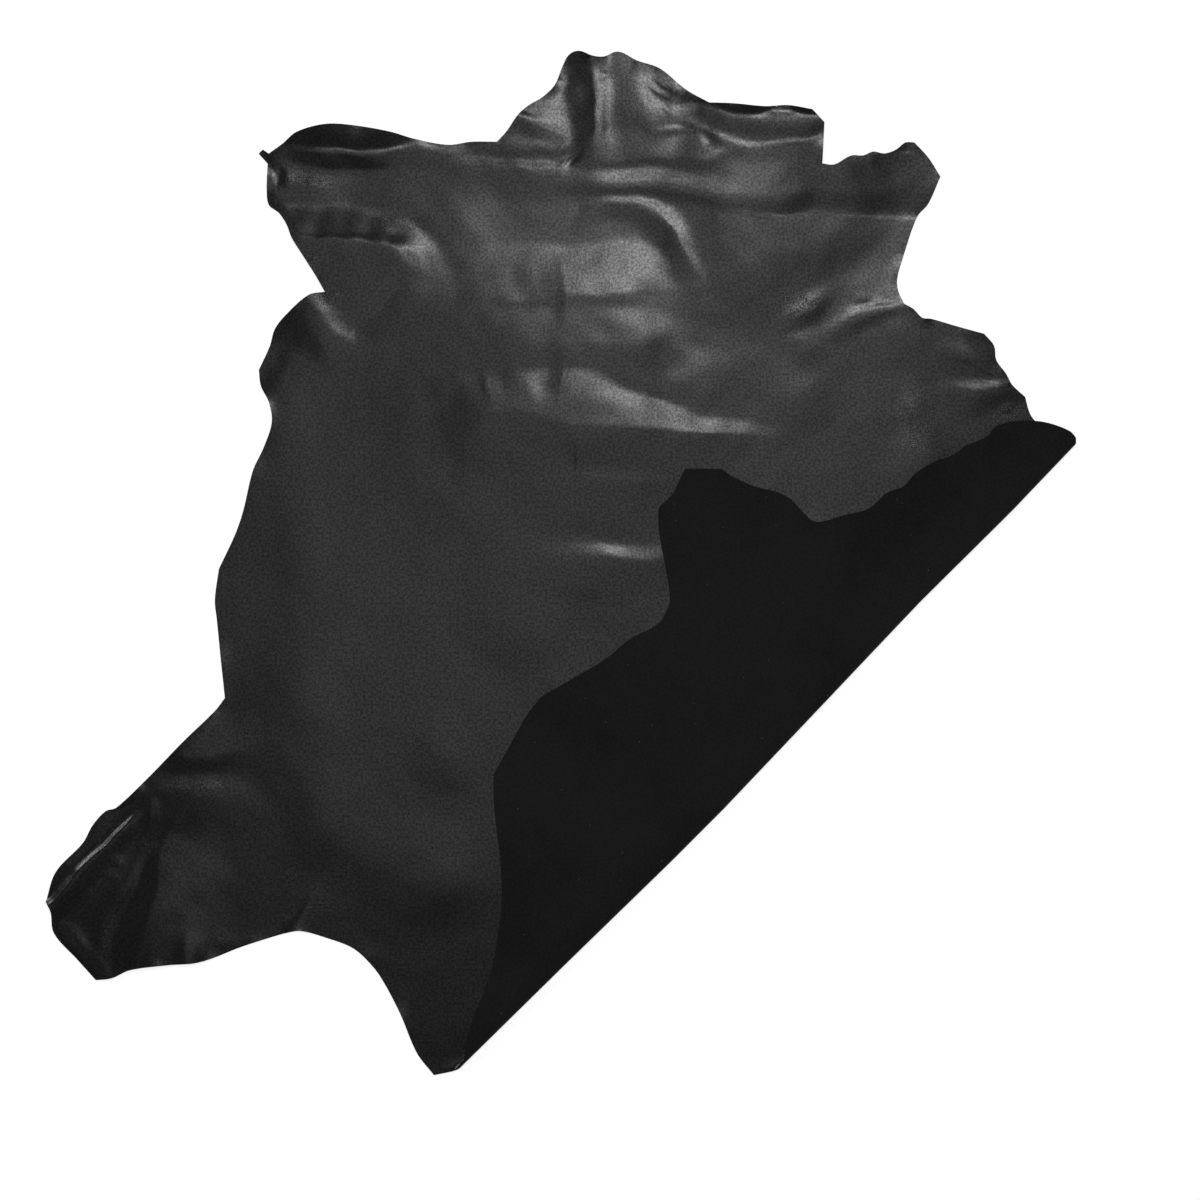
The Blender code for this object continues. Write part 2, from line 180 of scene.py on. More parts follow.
NAPE_FOLDS = (
    (0.3, 0.2, (580, 160, 26, 8, 0.0), (606, 159, 28, 8, 0.45), (650, 158, 30, 9, 1.0),
     (700, 157, 30, 12, 1.0), (732, 148, 26, 12, 0.0)),
    (0.3, 0.2, (466, 166, 10, 30, 0.0), (486, 167, 11, 34, 0.9), (530, 169, 12, 36, 1.0),
     (562, 171, 12, 36, 0.7), (586, 172, 12, 30, 0.0)),
    (0.4, 0.2, (478, 146, 18, 8, 0.0), (500, 147, 18, 9, 0.8), (545, 147, 18, 9, 0.7),
     (576, 148, 16, 8, 0.0)),
    (0.3, 0.2, (560, 185, 18, 12, 0.0), (596, 185, 19, 12, 0.8), (640, 185, 21, 11, 1.3),
     (680, 190, 25, 13, 1.3), (716, 198, 30, 14, 0.9), (770, 207, 26, 12, 0.0)),
    (0.3, 0.1, (580, 226, 8, 14, 0.0), (594, 210, 8, 16, 0.4), (618, 203, 9, 20, 0.8),
     (644, 206, 10, 22, 0.95), (663, 218, 11, 23, 1.15), (678, 237, 11, 24, 1.2), (689, 260, 11, 25, 1.0),
     (700, 284, 10, 24, 0.0)),
    (0.16, 0.1, (640, 104, 20, 90, 0.0), (700, 110, 20, 98, 1.8), (750, 113, 20, 101, 4.2),
     (800, 116, 20, 100, 6.2), (850, 118, 22, 99, 6.2), (900, 132, 30, 86, 4.8), (950, 150, 30, 70, 3.0)),
    (0.2, 0.2, (686, 108, 20, 18, 0.0), (716, 110, 20, 22, 0.8), (760, 112, 20, 25, 1.3),
     (800, 114, 20, 23, 1.1), (840, 114, 20, 18, 0.8)),
    (0.3, 0.2, (698, 130, 5, 30, 0.2), (722, 141, 6, 36, 0.55), (750, 150, 6, 36, 0.5),
     (784, 146, 5, 36, 0.35), (830, 137, 4, 36, 0.25)),
    (0.3, 0.2, (700, 208, 5, 90, 0.0), (726, 214, 5, 90, 0.2), (780, 217, 5, 90, 0.2),
     (850, 218, 5, 90, 0.24), (940, 222, 5, 90, 0.3)),
)
BACK_FOLDS = (
    (0.15, 0.1, (430, 304, 60, 190, 0.0), (484, 303, 62, 190, 0.9), (528, 302, 58, 190, 2.9),
     (565, 300, 56, 200, 3.9), (606, 298, 58, 200, 4.1), (634, 295, 56, 200, 3.9), (666, 294, 50, 190, 1.2),
     (700, 293, 44, 160, 0.4), (750, 291, 40, 140, 0.0)),
    (0.3, 0.1, (560, 250, 80, 8, 0.0), (564, 268, 90, 9, 0.2), (567, 286, 90, 9, 0.3),
     (569, 306, 90, 9, 0.25), (570, 330, 80, 10, 0.0)),
    (0.2, 0.2, (488, 330, 66, 50, 0.0), (486, 366, 70, 54, 0.8), (485, 394, 70, 54, 0.9),
     (486, 412, 70, 50, 0.6), (490, 440, 60, 46, 0.0)),
    (0.3, 0.1, (565, 344, 100, 16, 0.0), (563, 362, 110, 17, 0.5), (561, 382, 110, 18, 0.75),
     (559, 400, 110, 18, 0.65), (558, 418, 100, 16, 0.0)),
    (0.15, 0.2, (476, 352, 46, 150, 0.0), (530, 351, 46, 170, 1.5), (600, 350, 46, 170, 2.0),
     (650, 353, 46, 170, 1.8), (692, 359, 42, 150, 1.0), (740, 364, 36, 130, 0.0)),
    (0.12, 0.06, (370, 402, 20, 150, 0.0), (424, 405, 30, 170, 1.4), (460, 409, 38, 180, 2.8),
     (486, 414, 44, 180, 4.5), (520, 419, 52, 180, 4.8), (558, 424, 62, 180, 5.0), (600, 429, 54, 180, 4.9),
     (640, 433, 41, 170, 4.1), (680, 435, 28, 160, 2.8), (716, 435, 18, 150, 1.6), (750, 437, 12, 130, 0.6),
     (790, 439, 10, 110, 0.0)),
    (0.5, 0.4, (486, 224, 80, 120, 0.0), (474, 250, 90, 130, 0.6), (464, 284, 100, 150, 1.4),
     (456, 320, 110, 170, 1.9), (450, 370, 110, 180, 1.7), (448, 420, 110, 180, 1.3),
     (450, 500, 100, 150, 0.0)),
    (0.5, 0.4, (650, 396, 38, 70, 0.0), (676, 394, 42, 80, 1.0), (700, 387, 42, 80, 1.0),
     (734, 370, 34, 60, 0.0)),
    (0.3, 0.2, (587, 424, 16, 6, 0.0), (580, 446, 16, 6, 0.5), (578, 466, 16, 6, 0.5),
     (580, 490, 16, 6, 0.0)),
    (0.3, 0.2, (538, 562, 18, 110, 0.0), (566, 563, 24, 110, 2.2), (606, 564, 25, 110, 2.8),
     (646, 563, 23, 110, 2.0), (696, 560, 18, 90, 0.0)),
    (0.5, 0.4, (544, 486, 22, 80, 0.0), (580, 489, 24, 80, 1.0), (628, 489, 24, 80, 1.0),
     (670, 485, 20, 80, 0.0)),
)
RIGHT_SHOULDER_FOLDS = (
    (0.25, 0.3, (758, 140, 150, 110, 2.4), (750, 206, 160, 110, 4.6), (758, 268, 150, 110, 3.2),
     (782, 330, 110, 90, 0.0)),
    (0.2, 0.3, (716, 184, 140, 22, 0.0), (780, 189, 140, 24, 0.8), (850, 187, 140, 27, 1.1),
     (900, 184, 120, 32, 1.2), (950, 182, 100, 34, 1.2)),
    (0.3, 0.3, (834, 326, 10, 14, 0.0), (848, 321, 10, 14, 0.8), (870, 314, 9, 12, 0.8),
     (892, 306, 7, 10, 0.5), (910, 299, 5, 10, 0.2)),
    (0.4, 0.3, (776, 326, 14, 14, 0.0), (796, 317, 16, 16, 0.9), (810, 307, 16, 16, 0.9),
     (828, 294, 12, 14, 0.0)),
    (0.4, 0.4, (786, 348, 20, 26, 0.0), (804, 346, 24, 28, 0.8), (826, 330, 20, 24, 0.0)),
    (0.3, 0.2, (950, 391, 10, 20, 0.0), (976, 391, 12, 24, 1.3), (1000, 389, 12, 22, 1.3),
     (1020, 386, 10, 18, 0.6)),
    (0.4, 0.3, (940, 350, 16, 10, 0.0), (968, 357, 18, 11, 1.0), (990, 366, 18, 11, 1.2),
     (1006, 378, 12, 8, 0.4)),
    (0.5, 0.4, (904, 380, 26, 10, 0.0), (913, 410, 26, 10, 0.8), (932, 448, 26, 10, 0.0)),
)
LEFT_SHOULDER_FOLDS = (
    (0.2, 0.08, (246, 152, 12, 16, 0.8), (284, 147, 17, 17, 3.2), (304, 149, 22, 18, 4.4),
     (326, 151, 26, 21, 4.9), (372, 151, 26, 21, 4.4), (404, 149, 19, 22, 2.8), (430, 148, 16, 22, 1.2),
     (480, 147, 12, 20, 0.3), (530, 147, 12, 20, 0.0)),
    (0.08, 0.1, (256, 241, 35, 90, 4.4), (300, 240, 35, 110, 4.5), (346, 241, 34, 110, 4.1),
     (382, 246, 30, 100, 3.5), (402, 252, 27, 90, 2.9), (418, 263, 25, 80, 1.3), (429, 285, 20, 70, 0.0)),
    (0.2, 0.1, (300, 241, 5, 30, 0.4), (336, 241, 5, 34, 0.6), (366, 244, 8, 34, 0.6),
     (386, 249, 16, 34, 0.8), (400, 260, 22, 34, 1.1), (407, 276, 22, 34, 0.8), (410, 294, 20, 30, 0.0)),
    (0.4, 0.3, (288, 288, 20, 40, 0.6), (308, 311, 25, 40, 2.0), (328, 333, 26, 40, 2.2),
     (350, 345, 20, 40, 1.1), (378, 350, 14, 30, 0.0)),
    (0.4, 0.4, (314, 306, 60, 30, 0.0), (302, 345, 60, 32, 1.0), (278, 396, 60, 28, 1.0),
     (262, 436, 60, 26, 0.0)),
    (0.3, 0.2, (268, 146, 24, 8, 0.0), (276, 168, 26, 14, 0.8), (279, 190, 26, 16, 0.5),
     (286, 216, 24, 14, 0.0)),
)
SHANK_FOLDS = (
    (0.2, 0.1, (30, 922, 6, 18, 3.0), (64, 890, 6, 19, 3.1), (98, 855, 5, 19, 2.4), (128, 824, 4, 15, 2.0),
     (142, 811, 4, 10, 0.9), (150, 802, 4, 8, 0.0)),
    (0.2, 0.15, (174, 824, 50, 8, 0.0), (165, 850, 70, 14, 1.7), (161, 880, 80, 22, 3.0),
     (155, 912, 80, 33, 4.4), (144, 945, 80, 34, 4.4), (126, 984, 70, 30, 3.0)),
    (0.3, 0.2, (146, 852, 6, 12, 0.0), (132, 876, 7, 14, 0.8), (114, 905, 8, 16, 0.9),
     (108, 934, 8, 16, 0.9), (102, 975, 8, 14, 0.6)),
    (0.3, 0.2, (154, 796, 36, 6, 0.0), (151, 814, 40, 7, 1.0), (147, 830, 40, 7, 1.0),
     (138, 848, 36, 6, 0.0)),
    (0.2, 0.3, (142, 750, 28, 26, 0.0), (180, 749, 40, 27, 2.0), (216, 748, 40, 27, 1.9),
     (252, 748, 36, 26, 0.0)),
    (0.3, 0.2, (136, 793, 13, 40, 0.0), (160, 792, 13, 40, 1.6), (200, 792, 13, 40, 2.1),
     (244, 793, 13, 40, 0.0)),
    (0.3, 0.3, (196, 922, 18, 16, 0.0), (192, 944, 18, 16, 1.6), (187, 970, 18, 16, 2.6)),
    (0.4, 0.1, (316, 894, 24, 7, 0.0), (301, 918, 24, 7, 1.0), (286, 940, 24, 7, 0.6)),
    (0.4, 0.4, (56, 926, 14, 16, 0.4), (82, 949, 14, 16, 1.0), (106, 976, 14, 16, 0.4)),
)
FOLDED_SIDE_FOLDS = (
    (0.5, 0.5, (704, 452, 40, 60, 0.6), (690, 540, 40, 60, 2.5), (694, 630, 40, 60, 0.0)),
    (0.5, 0.5, (826, 500, 60, 50, 0.6), (806, 580, 60, 50, 2.0), (768, 660, 60, 50, 0.0)),
    (0.5, 0.5, (496, 756, 40, 50, 0.0), (520, 860, 40, 50, 2.0), (504, 970, 40, 50, 0.0)),
)
# Small wrinkles: start, middle, end, width and height. Each has two like sides, and its height dies
# away towards both ends. A negative height is a furrow.
Wrinkle = namedtuple("Wrinkle", "start middle end width height")
WRINKLES = (
    ((646, 129), (672, 130), (704, 134), 4, 0.35), ((672, 124), (690, 126), (708, 133), 4, 0.25),
    ((703, 135), (710, 142), (720, 150), 5, -0.6), ((680, 157), (702, 158), (724, 151), 4, 0.3),
    ((762, 144), (790, 140), (826, 135), 3, 0.2), ((646, 78), (660, 87), (676, 96), 3, 0.25),
    ((642, 84), (656, 94), (672, 104), 4, 0.25), ((656, 98), (664, 108), (674, 118), 3, 0.2),
    ((675, 83), (674, 90), (670, 96), 3, -0.25), ((597, 71), (602, 75), (609, 73), 4, -0.5),
    ((570, 139), (562, 148), (548, 158), 4, 0.4), ((582, 150), (575, 158), (566, 166), 4, -0.5),
    ((574, 154), (566, 161), (560, 168), 3, 0.35), ((285, 178), (290, 182), (294, 186), 4, 0.7),
    ((295, 180), (302, 184), (308, 182), 4, 0.6), ((309, 181), (315, 185), (324, 184), 4, 0.6),
    ((272, 168), (278, 176), (276, 186), 5, -0.9), ((785, 317), (793, 311), (802, 307), 3, 0.3),
    ((789, 321), (799, 315), (808, 309), 3, 0.3), ((858, 303), (863, 300), (870, 299), 5, 0.3),
    ((866, 150), (870, 160), (873, 168), 5, 0.4), ((892, 152), (904, 151), (916, 152), 4, -0.4),
    ((300, 264), (308, 267), (318, 256), 6, 0.5), ((324, 295), (330, 300), (340, 297), 4, 0.3),
    ((204, 944), (205, 952), (207, 960), 3, 0.4), ((214, 938), (222, 944), (230, 952), 3, 0.4),
    ((220, 936), (228, 942), (238, 948), 3, 0.4), ((110, 858), (118, 862), (122, 870), 5, 0.6),
    ((108, 878), (114, 876), (120, 879), 4, 0.5), ((684, 288), (696, 291), (706, 286), 7, 0.15),
    ((996, 410), (1006, 410), (1014, 404), 5, 0.4), ((488, 362), (486, 384), (490, 404), 6, 0.14),
    ((506, 352), (502, 376), (506, 404), 5, -0.06), ((533, 366), (530, 384), (534, 404), 6, 0.14),
)
# Patches where the grain is puckered and its pebbles stand up, each an ellipse with soft edges:
# across, down, half width, half depth and strength
Patch = namedtuple("Patch", "across down half_width half_depth strength")
PEBBLED_PATCHES = (
    (190, 786, 34, 7, 1.0), (262, 832, 32, 16, 0.7), (262, 870, 9, 15, 0.8), (291, 872, 11, 20, 0.9),
    (343, 868, 9, 9, 1.0), (150, 846, 13, 12, 0.9), (116, 868, 10, 16, 0.7), (106, 940, 6, 30, 0.9),
    (226, 944, 13, 8, 1.0), (318, 910, 26, 16, 0.5), (255, 728, 26, 14, 0.4), (306, 181, 18, 5, 0.9),
    (308, 259, 9, 8, 0.9), (332, 298, 10, 6, 0.7), (392, 218, 12, 10, 0.6), (916, 418, 16, 26, 0.6),
    (1006, 410, 12, 8, 0.8), (800, 304, 18, 14, 0.5),
)
WRINKLE_FOOT, WRINKLE_CROWN = 0.5, 0.4
CREST_ROUNDING = 2.0  # radius within which even a sharp crest is smooth
FOLD_ROWS = (0.0, 1.3, 2.7, 4.3, 6.2, 8.6)  # distances of the first rows of points from a crest
ROW_STEP = 3.7  # between the rows further out, and between the points of a row
ROWS_REACH = 20.0  # the rows end here, and the field's points do beyond
PATH_STEP = 2.5  # between the points of a path, from which distances are taken
FINE_STEP = 1.5  # between the points of the curve that a path is taken from
FEWEST_POINTS = 4  # on a path
HANDLES = 3  # a curve's handles reach over one part in this many
BLEND_SHARE = 0.1  # a path's points blend over this share of its length,
BLEND_REACH = (2.5, 11.0)  # but at least and at most over this
LEAST_DISTANCE = 1e-9  # keeps a division by a distance from failing
Stray = namedtuple("Stray", "length reach")
STRAYS = (Stray(70, 1.3), Stray(25, 0.4))  # waves that every place of a fold strays by
STRAY_SEED = 40

# Broad ripples where the sheet lifts off the table: each band has waves of one length
Ripple = namedtuple("Ripple", "length height broad")
RIPPLES = (Ripple(230, 0.35, 1), Ripple(124, 0.14, 1), Ripple(61, 0.06, 0), Ripple(27, 0.02, 0))
RIPPLE_WAVES = 22  # waves in a band, each with a heading and a phase of its own
RIPPLE_LEVEL = -0.4  # broad waves show where they rise above this
RIPPLE_SEED = 5
CURL_REACH = 14.0  # the cut edge curls up over this width
CURL_HEIGHT = 0.7
CURL_MOST = 1.5  # times that height
CURL_LENGTH = 48.0  # from one curled-up stretch of the edge to the next
EDGE_BULGE = 0.12  # of the cut edge's middle, as a share of the thickness
SHARP_ANGLE = radians(50)  # edges that turn by more than this look sharp

# Maps of the mesh that the materials read
PATTERN_MAP = "flat_cut"  # places in the flat cut, in metres
LAYER_STEP = 1.25  # metres between the leather's two sides on that map
CREST = "crest"  # 1 along the crests of folds
PEBBLED = "pebbled"  # 1 where the grain's pebbles stand up most

# Patterns in the leather, with sizes in metres
Mottle = namedtuple("Mottle", "name size detail roughness low high")
MOTTLES = (
    Mottle("Cloud", 0.16, 3.0, 0.5, 0.3, 0.7),
    Mottle("Blotch", 0.018, 3.0, 0.6, 0.3, 0.7),
    Mottle("Speckle", 0.0026, 2.0, 0.6, 0.32, 0.68),
)
PEBBLE_STRAY = (0.006, 0.003)  # size of the noise that moves the pebbles, and its whole reach
PEBBLE_FURROW = 0.3  # width of the furrows round the pebbles, as a share of them
FINE_SIZE = 0.42  # of the finer pebbles on them, as a share of theirs
FINE_EDGE = 0.7  # where those end, outward from their middles
PEBBLE_HEIGHT, FINE_HEIGHT = 0.7, 0.3  # shares of the grain's whole height
CREASE_SPREAD = 3.4  # size of the cells that the creases run round, in pebbles
CREASE_STRETCH = (1.0, 0.35, 1.0)  # scales the pattern, so those cells are long and thin
CREASE_WIDTH = 0.09  # as a share of those cells
CREASE_DEPTH = 0.5  # as a share of the grain's whole height
CREASED_SIZE = 0.03  # of the patches that have creases
CREASED_RANGE = (0.42, 0.6)  # their noise fades in between these
PEBBLED_GAIN = 15.0  # in the pebbled patches the grain is deeper by this many times
SWELL = (0.013, 0.006)  # size of the grain's slow swells, and their height in millimetres
GRAIN_SHADES = (0.8, 1.3, 2.2)  # of the grain's colour: dark, light, and paler on the crests, partly wear and partly a painted highlight
FINISH = 0.7  # most of the clear finish on the grain
ROUGHNESS_SPREAD = 0.01  # each way from the grain's own roughness
FIBRES, FINE_FIBRES = 0.0035, 0.0011
FINE_FIBRES_HEIGHT = 0.6  # beside that of the coarser ones
DUST_CELL = 0.004  # no more than one speck in each
DUST_SIZE = 0.1  # of a speck, as a share of its cell
DUST_SHARE = 0.005  # of the cells on the flesh side that hold a speck
DUST_COLOUR = (0.2, 0.2, 0.2, 1.0)
FLESH_NAP, EDGE_NAP = 0.35, 0.3  # heights of the fibres in millimetres
FLESH_SHADES, EDGE_SHADES = (0.75, 1.3), (0.7, 1.4)  # of their colours: dark and light
FLESH_ROUGHNESS = (0.88, 1.0)
EDGE_RANGE = (0.5, 1.1)  # the cut edge gets paler between these heights in its fibres


class Crease:
    """The line the side is folded over, with its own two directions in the sheet."""

    start = np.array(CREASE_START)
    along = np.array(CREASE_END) - start
    along /= np.linalg.norm(along)
    outward = np.array((-along[1], along[0]))

    def __init__(self, radius):
        self.radius = radius
        self.half_turn = pi * radius

    def measures(self, places):
        """Distance along the crease, and distance outward from where the roll begins."""
        offsets = places - self.start
        along = offsets @ self.along
        bow = np.interp(along, *zip(*CREASE_BOW))
        return along, offsets @ self.outward - (bow - self.radius)

    def place(self, along, beyond):
        """The place that has these two measures: the inverse of `measures`."""
        outward = beyond + np.interp(along, *zip(*CREASE_BOW)) - self.radius
        return self.start + np.outer(along, self.along) + np.outer(outward, self.outward)

    def unfold(self, places):
        """Where a place on the folded side, seen as it lies, was in the flat cut."""
        along, beyond = self.measures(places)
        return self.place(along, self.half_turn - beyond)


def smooth_line(places, corners, step):
    """Points about `step` apart on a curve through the places, turning sharply at the corners.

    Between two places it is a Bezier curve. At a place that is no corner, its handles run along the
    line between the places on both sides of it. It also gives which of the points each place is.
    """
    knots = [Vector(place) for place in places]
    points, numbers = [], [0]
    for index, (here, there) in enumerate(zip(knots, knots[1:])):
        length = (there - here).length
        reach = length / HANDLES
        before = knots[index - 1] if index and not corners[index] else here
        after = knots[index + 2] if index + 2 < len(knots) and not corners[index + 1] else there
        handle_out = here + (there - before).normalized() * reach
        handle_in = there - (after - here).normalized() * reach
        parts = max(1, round(length / step))
        points += interpolate_bezier(here, handle_out, handle_in, there, parts + 1)[:-1]
        numbers.append(len(points))
    return np.array([point.to_2d() for point in points + [knots[-1]]]), numbers


def edge_line(rows, step):
    """Points along a stretch of the hide's edge."""
    rows = [Edge(*row) for row in rows]
    return smooth_line([row[:2] for row in rows], [row.corner for row in rows], step)[0]


def flat_outline(crease, lying_side):
    """The closed edge of the flat cut: the body's, and the folded side's turned back out."""
    body = edge_line(BUTT + LEFT_HIND_SHANK + LEFT_FLANK + LEFT_FORE_SHANK + NECK
                     + RIGHT_FORE_SHANK + RIGHT_FLANK, OUTLINE_STEP)
    side = crease.unfold(lying_side)
    shares = np.linspace(0, 1, ROLL_PARTS + 1)[1:-1, None]
    over_right_end = body[-1] + shares * (side[0] - body[-1])
    over_left_end = side[-1] + shares * (body[0] - side[-1])
    return np.concatenate((body, over_right_end, side, over_left_end))


def crest_ends(crest):
    """Zero for a crest that dies away at both ends, and one for a crest cut off at an end."""
    return float(crest[0].height != 0 or crest[-1].height != 0)


class FoldPath:
    """Even points about `step` apart along a fold's crest, and its widths and height there.

    The widths and the height run straight from place to place, and are then smoothed by a bell curve.
    """

    def __init__(self, crest, step):
        knots, numbers = smooth_line([row[:2] for row in crest], [0] * len(crest), FINE_STEP)
        passed = np.append(0, np.cumsum(np.linalg.norm(np.diff(knots, axis=0), axis=1)))
        even = np.linspace(0, passed[-1], max(FEWEST_POINTS, round(passed[-1] / step)))
        self.points = np.column_stack([np.interp(even, passed, column) for column in knots.T])
        headings = np.gradient(self.points, axis=0)
        self.headings = headings / np.linalg.norm(headings, axis=1, keepdims=True)
        self.blend = np.clip(passed[-1] * BLEND_SHARE, *BLEND_REACH)
        weights = np.exp(-((even[:, None] - even) / self.blend) ** 2)
        weights /= weights.sum(axis=1, keepdims=True)
        self.left, self.right, self.height = (
            weights @ np.interp(even, passed[numbers], column) for column in list(zip(*crest))[2:])
        self.height *= np.clip(np.minimum(even, even[-1] - even) / self.blend, crest_ends(crest), 1)


def left_of(headings):
    """The left-hand direction of each heading, with `down` pointing down."""
    return np.column_stack((headings[:, 1], -headings[:, 0]))


def near_path(path, places):
    """How far each place is abreast of a path, positive on its left, and past its ends.

    It also gives how many steps along the path the place is. That and the distance abreast are
    averages over the path's points. A point's weight falls off as a bell curve with how much further
    away it is than the nearest, so that nothing jumps.
    """
    offsets = places[:, None] - path.points
    squares = (offsets ** 2).sum(axis=2)
    nearest = squares.argmin(axis=1)
    ahead = (offsets[np.arange(len(places)), nearest] * path.headings[nearest]).sum(axis=1)
    past = np.where(nearest == len(path.points) - 1, ahead, np.where(nearest == 0, -ahead, 0))
    weights = np.exp((squares.min(axis=1, keepdims=True) - squares) / (2 * path.blend ** 2))
    weights /= weights.sum(axis=1, keepdims=True)
    abreast = ((offsets * left_of(path.headings)).sum(axis=2) * weights).sum(axis=1)
    return abreast, np.maximum(past, 0), weights @ np.arange(len(path.points))


def slope_height(share, foot, crown):
    """Height at each share of the way up a side, from 0 to 1.

    The slope builds up evenly over the foot, is even up to the crown, and dies away over the crown.
    """
    risen = np.where(share < foot, share ** 2 / (2 * foot), share - foot / 2)
    lost = np.maximum(share - (1 - crown), 0) ** 2 / (2 * crown)
    return (risen - lost) / (1 - foot / 2 - crown / 2)


def add_fold(heights, crests, fold, places):
    """Adds one fold to the heights and its crest to the crests, for the places it reaches.

    The way up is 1 less the distance from the crest over the width of the fold on that hand. Past an
    end of the crest, the width goes over evenly from one hand's to the other's.
    """
    path = FoldPath(fold.crest, PATH_STEP)
    widest = max(path.left.max(), path.right.max())
    near = (places > path.points.min(axis=0) - widest) & (places < path.points.max(axis=0) + widest)
    near = near.all(axis=1)
    abreast, past, along = near_path(path, places[near])
    steps = np.arange(len(path.points))
    left, right, height = (np.interp(along, steps, row) for row in (path.left, path.right, path.height))
    distance = np.hypot(abreast, past)
    hand = abreast / np.maximum(distance, LEAST_DISTANCE)
    width = (left * (1 + hand) + right * (1 - hand)) / 2
    rounded = np.hypot(distance, CREST_ROUNDING) - CREST_ROUNDING
    way_up = np.clip(1 - rounded / width, 0, 1)
    heights[near] += height * slope_height(way_up, fold.foot, fold.crown)
    crests[near] += np.exp(-(rounded / CREST_ROUNDING) ** 2) * np.clip(height, 0, 1)


def as_folds(rows):
    """The rows of a table as folds, each with its crest's places."""
    return [Fold(foot, crown, [Crest(*place) for place in crest]) for foot, crown, *crest in rows]


def as_fold(wrinkle):
    """A wrinkle written as the fold it is."""
    places = (wrinkle.start, 0.0), (wrinkle.middle, wrinkle.height), (wrinkle.end, 0.0)
    crest = [Crest(*place, wrinkle.width, wrinkle.width, height) for place, height in places]
    return Fold(WRINKLE_FOOT, WRINKLE_CROWN, crest)


BODY_FOLDS = as_folds(NAPE_FOLDS + NECK_FOLDS + BACK_FOLDS + RIGHT_SHOULDER_FOLDS + LEFT_SHOULDER_FOLDS
                      + SHANK_FOLDS) + [as_fold(Wrinkle(*row)) for row in WRINKLES]
SIDE_FOLDS = as_folds(FOLDED_SIDE_FOLDS)


def relief(folds, places):
    """Height of the folds at each place, and how near each is to a crest, from 0 to 1."""
    heights, crests = np.zeros((2, len(places)))
    places = strayed(places)
    for fold in folds:
        add_fold(heights, crests, fold, places)
    return heights, np.clip(crests, 0, 1)


def pebbled(places):
    """How puckered each place is, from 0 to 1: a bell curve about the middle of each patch."""
    shares = np.zeros(len(places))
    for patch in (Patch(*row) for row in PEBBLED_PATCHES):
        away = (places - (patch.across, patch.down)) / (patch.half_width, patch.half_depth)
        shares = np.maximum(shares, patch.strength * np.exp(-(away ** 2).sum(axis=1)))
    return shares


def wave_field(places, length, seed):
    """An even, smooth unevenness with a spread of about one, the same in all directions.

    It is the sum of sine waves of one length, whose headings and phases are drawn from the seed,
    times the square root of two over their number.
    """
    numbers = np.random.default_rng(seed)
    headings = numbers.uniform(0, 2 * pi, RIPPLE_WAVES)
    phases = numbers.uniform(0, 2 * pi, RIPPLE_WAVES)
    travelled = places @ np.stack((np.cos(headings), np.sin(headings))) / length
    return np.sin(2 * pi * travelled + phases).sum(axis=1) * (2 / RIPPLE_WAVES) ** 0.5


def strayed(places):
    """The places moved a little, each its own way, so that folds shaped there run less evenly."""
    moves = np.zeros_like(places)
    for number, stray in enumerate(STRAYS):
        for axis in range(2):
            seed = STRAY_SEED + 2 * number + axis
            moves[:, axis] += stray.reach * wave_field(places, stray.length, seed)
    return places + moves


def ripples(places):
    """Height of the ripples: the squares of what broad waves rise above a level, and finer waves."""
    heights = np.zeros(len(places))
    for number, ripple in enumerate(RIPPLES):
        field = wave_field(places, ripple.length, RIPPLE_SEED + number)
        risen = np.maximum(field - RIPPLE_LEVEL, 0) ** 2
        heights += ripple.height * np.where(ripple.broad, risen, field)
    return heights


def rise_outside(places):
    """How far each place has risen off the table, by its distance outside the resting places.

    The slope grows evenly from nothing over the width of the bend, and is even from there on.
    """
    corners = np.array(RESTING_PLACES, float)
    sides = np.roll(corners, -1, axis=0) - corners
    outward = np.column_stack((-sides[:, 1], sides[:, 0]))
    outward /= np.linalg.norm(outward, axis=1, keepdims=True)
    distances = ((places[:, None] - corners) * outward).sum(axis=2).max(axis=1)
    bent = np.clip(distances, 0, EDGE_BEND)
    return EDGE_RISE * (np.maximum(distances, 0) - bent + bent ** 2 / (2 * EDGE_BEND))


def crease_points(crease):
    """Rows of points along the crease, round its roll and where the upper layer comes down."""
    rows = np.concatenate((
        np.linspace(0, crease.half_turn, ROLL_PARTS + 1),
        crease.half_turn + np.linspace(0, SETTLE_LENGTH, SETTLE_PARTS + 1)[1:],
    ))
    length = np.linalg.norm(np.subtract(CREASE_END, CREASE_START))
    along, beyond = np.meshgrid(np.arange(0, length, CREASE_STEP), rows)
    return crease.place(along.ravel(), beyond.ravel())


def fold_points(fold):
    """Rows of points on the crest and down both sides of a fold, closest together at the crest."""
    path = FoldPath(fold.crest, ROW_STEP)
    sideways = left_of(path.headings)
    rows = []
    for widths, hand in ((path.left, 1), (path.right, -1)):
        width = min(widths.max(), ROWS_REACH)
        outer = np.arange(FOLD_ROWS[-1] + ROW_STEP, width, ROW_STEP)
        offsets = [row for row in FOLD_ROWS if row < width] + list(outer)
        rows += [path.points + sideways * offset * hand for offset in offsets]
    return np.concatenate(rows)


def field_points(crease, step):
    """Evenly spaced points in staggered rows that follow the crease, for the open leather."""
    row_step = step * ROW_SHARE
    rows = np.arange(-round(FIELD_REACH / row_step), round(FIELD_REACH / row_step))
    row, along = np.meshgrid(rows, np.arange(-FIELD_REACH, FIELD_REACH, step))
    along = along + row % 2 * step / 2
    return crease.place(along.ravel(), row.ravel() * row_step)


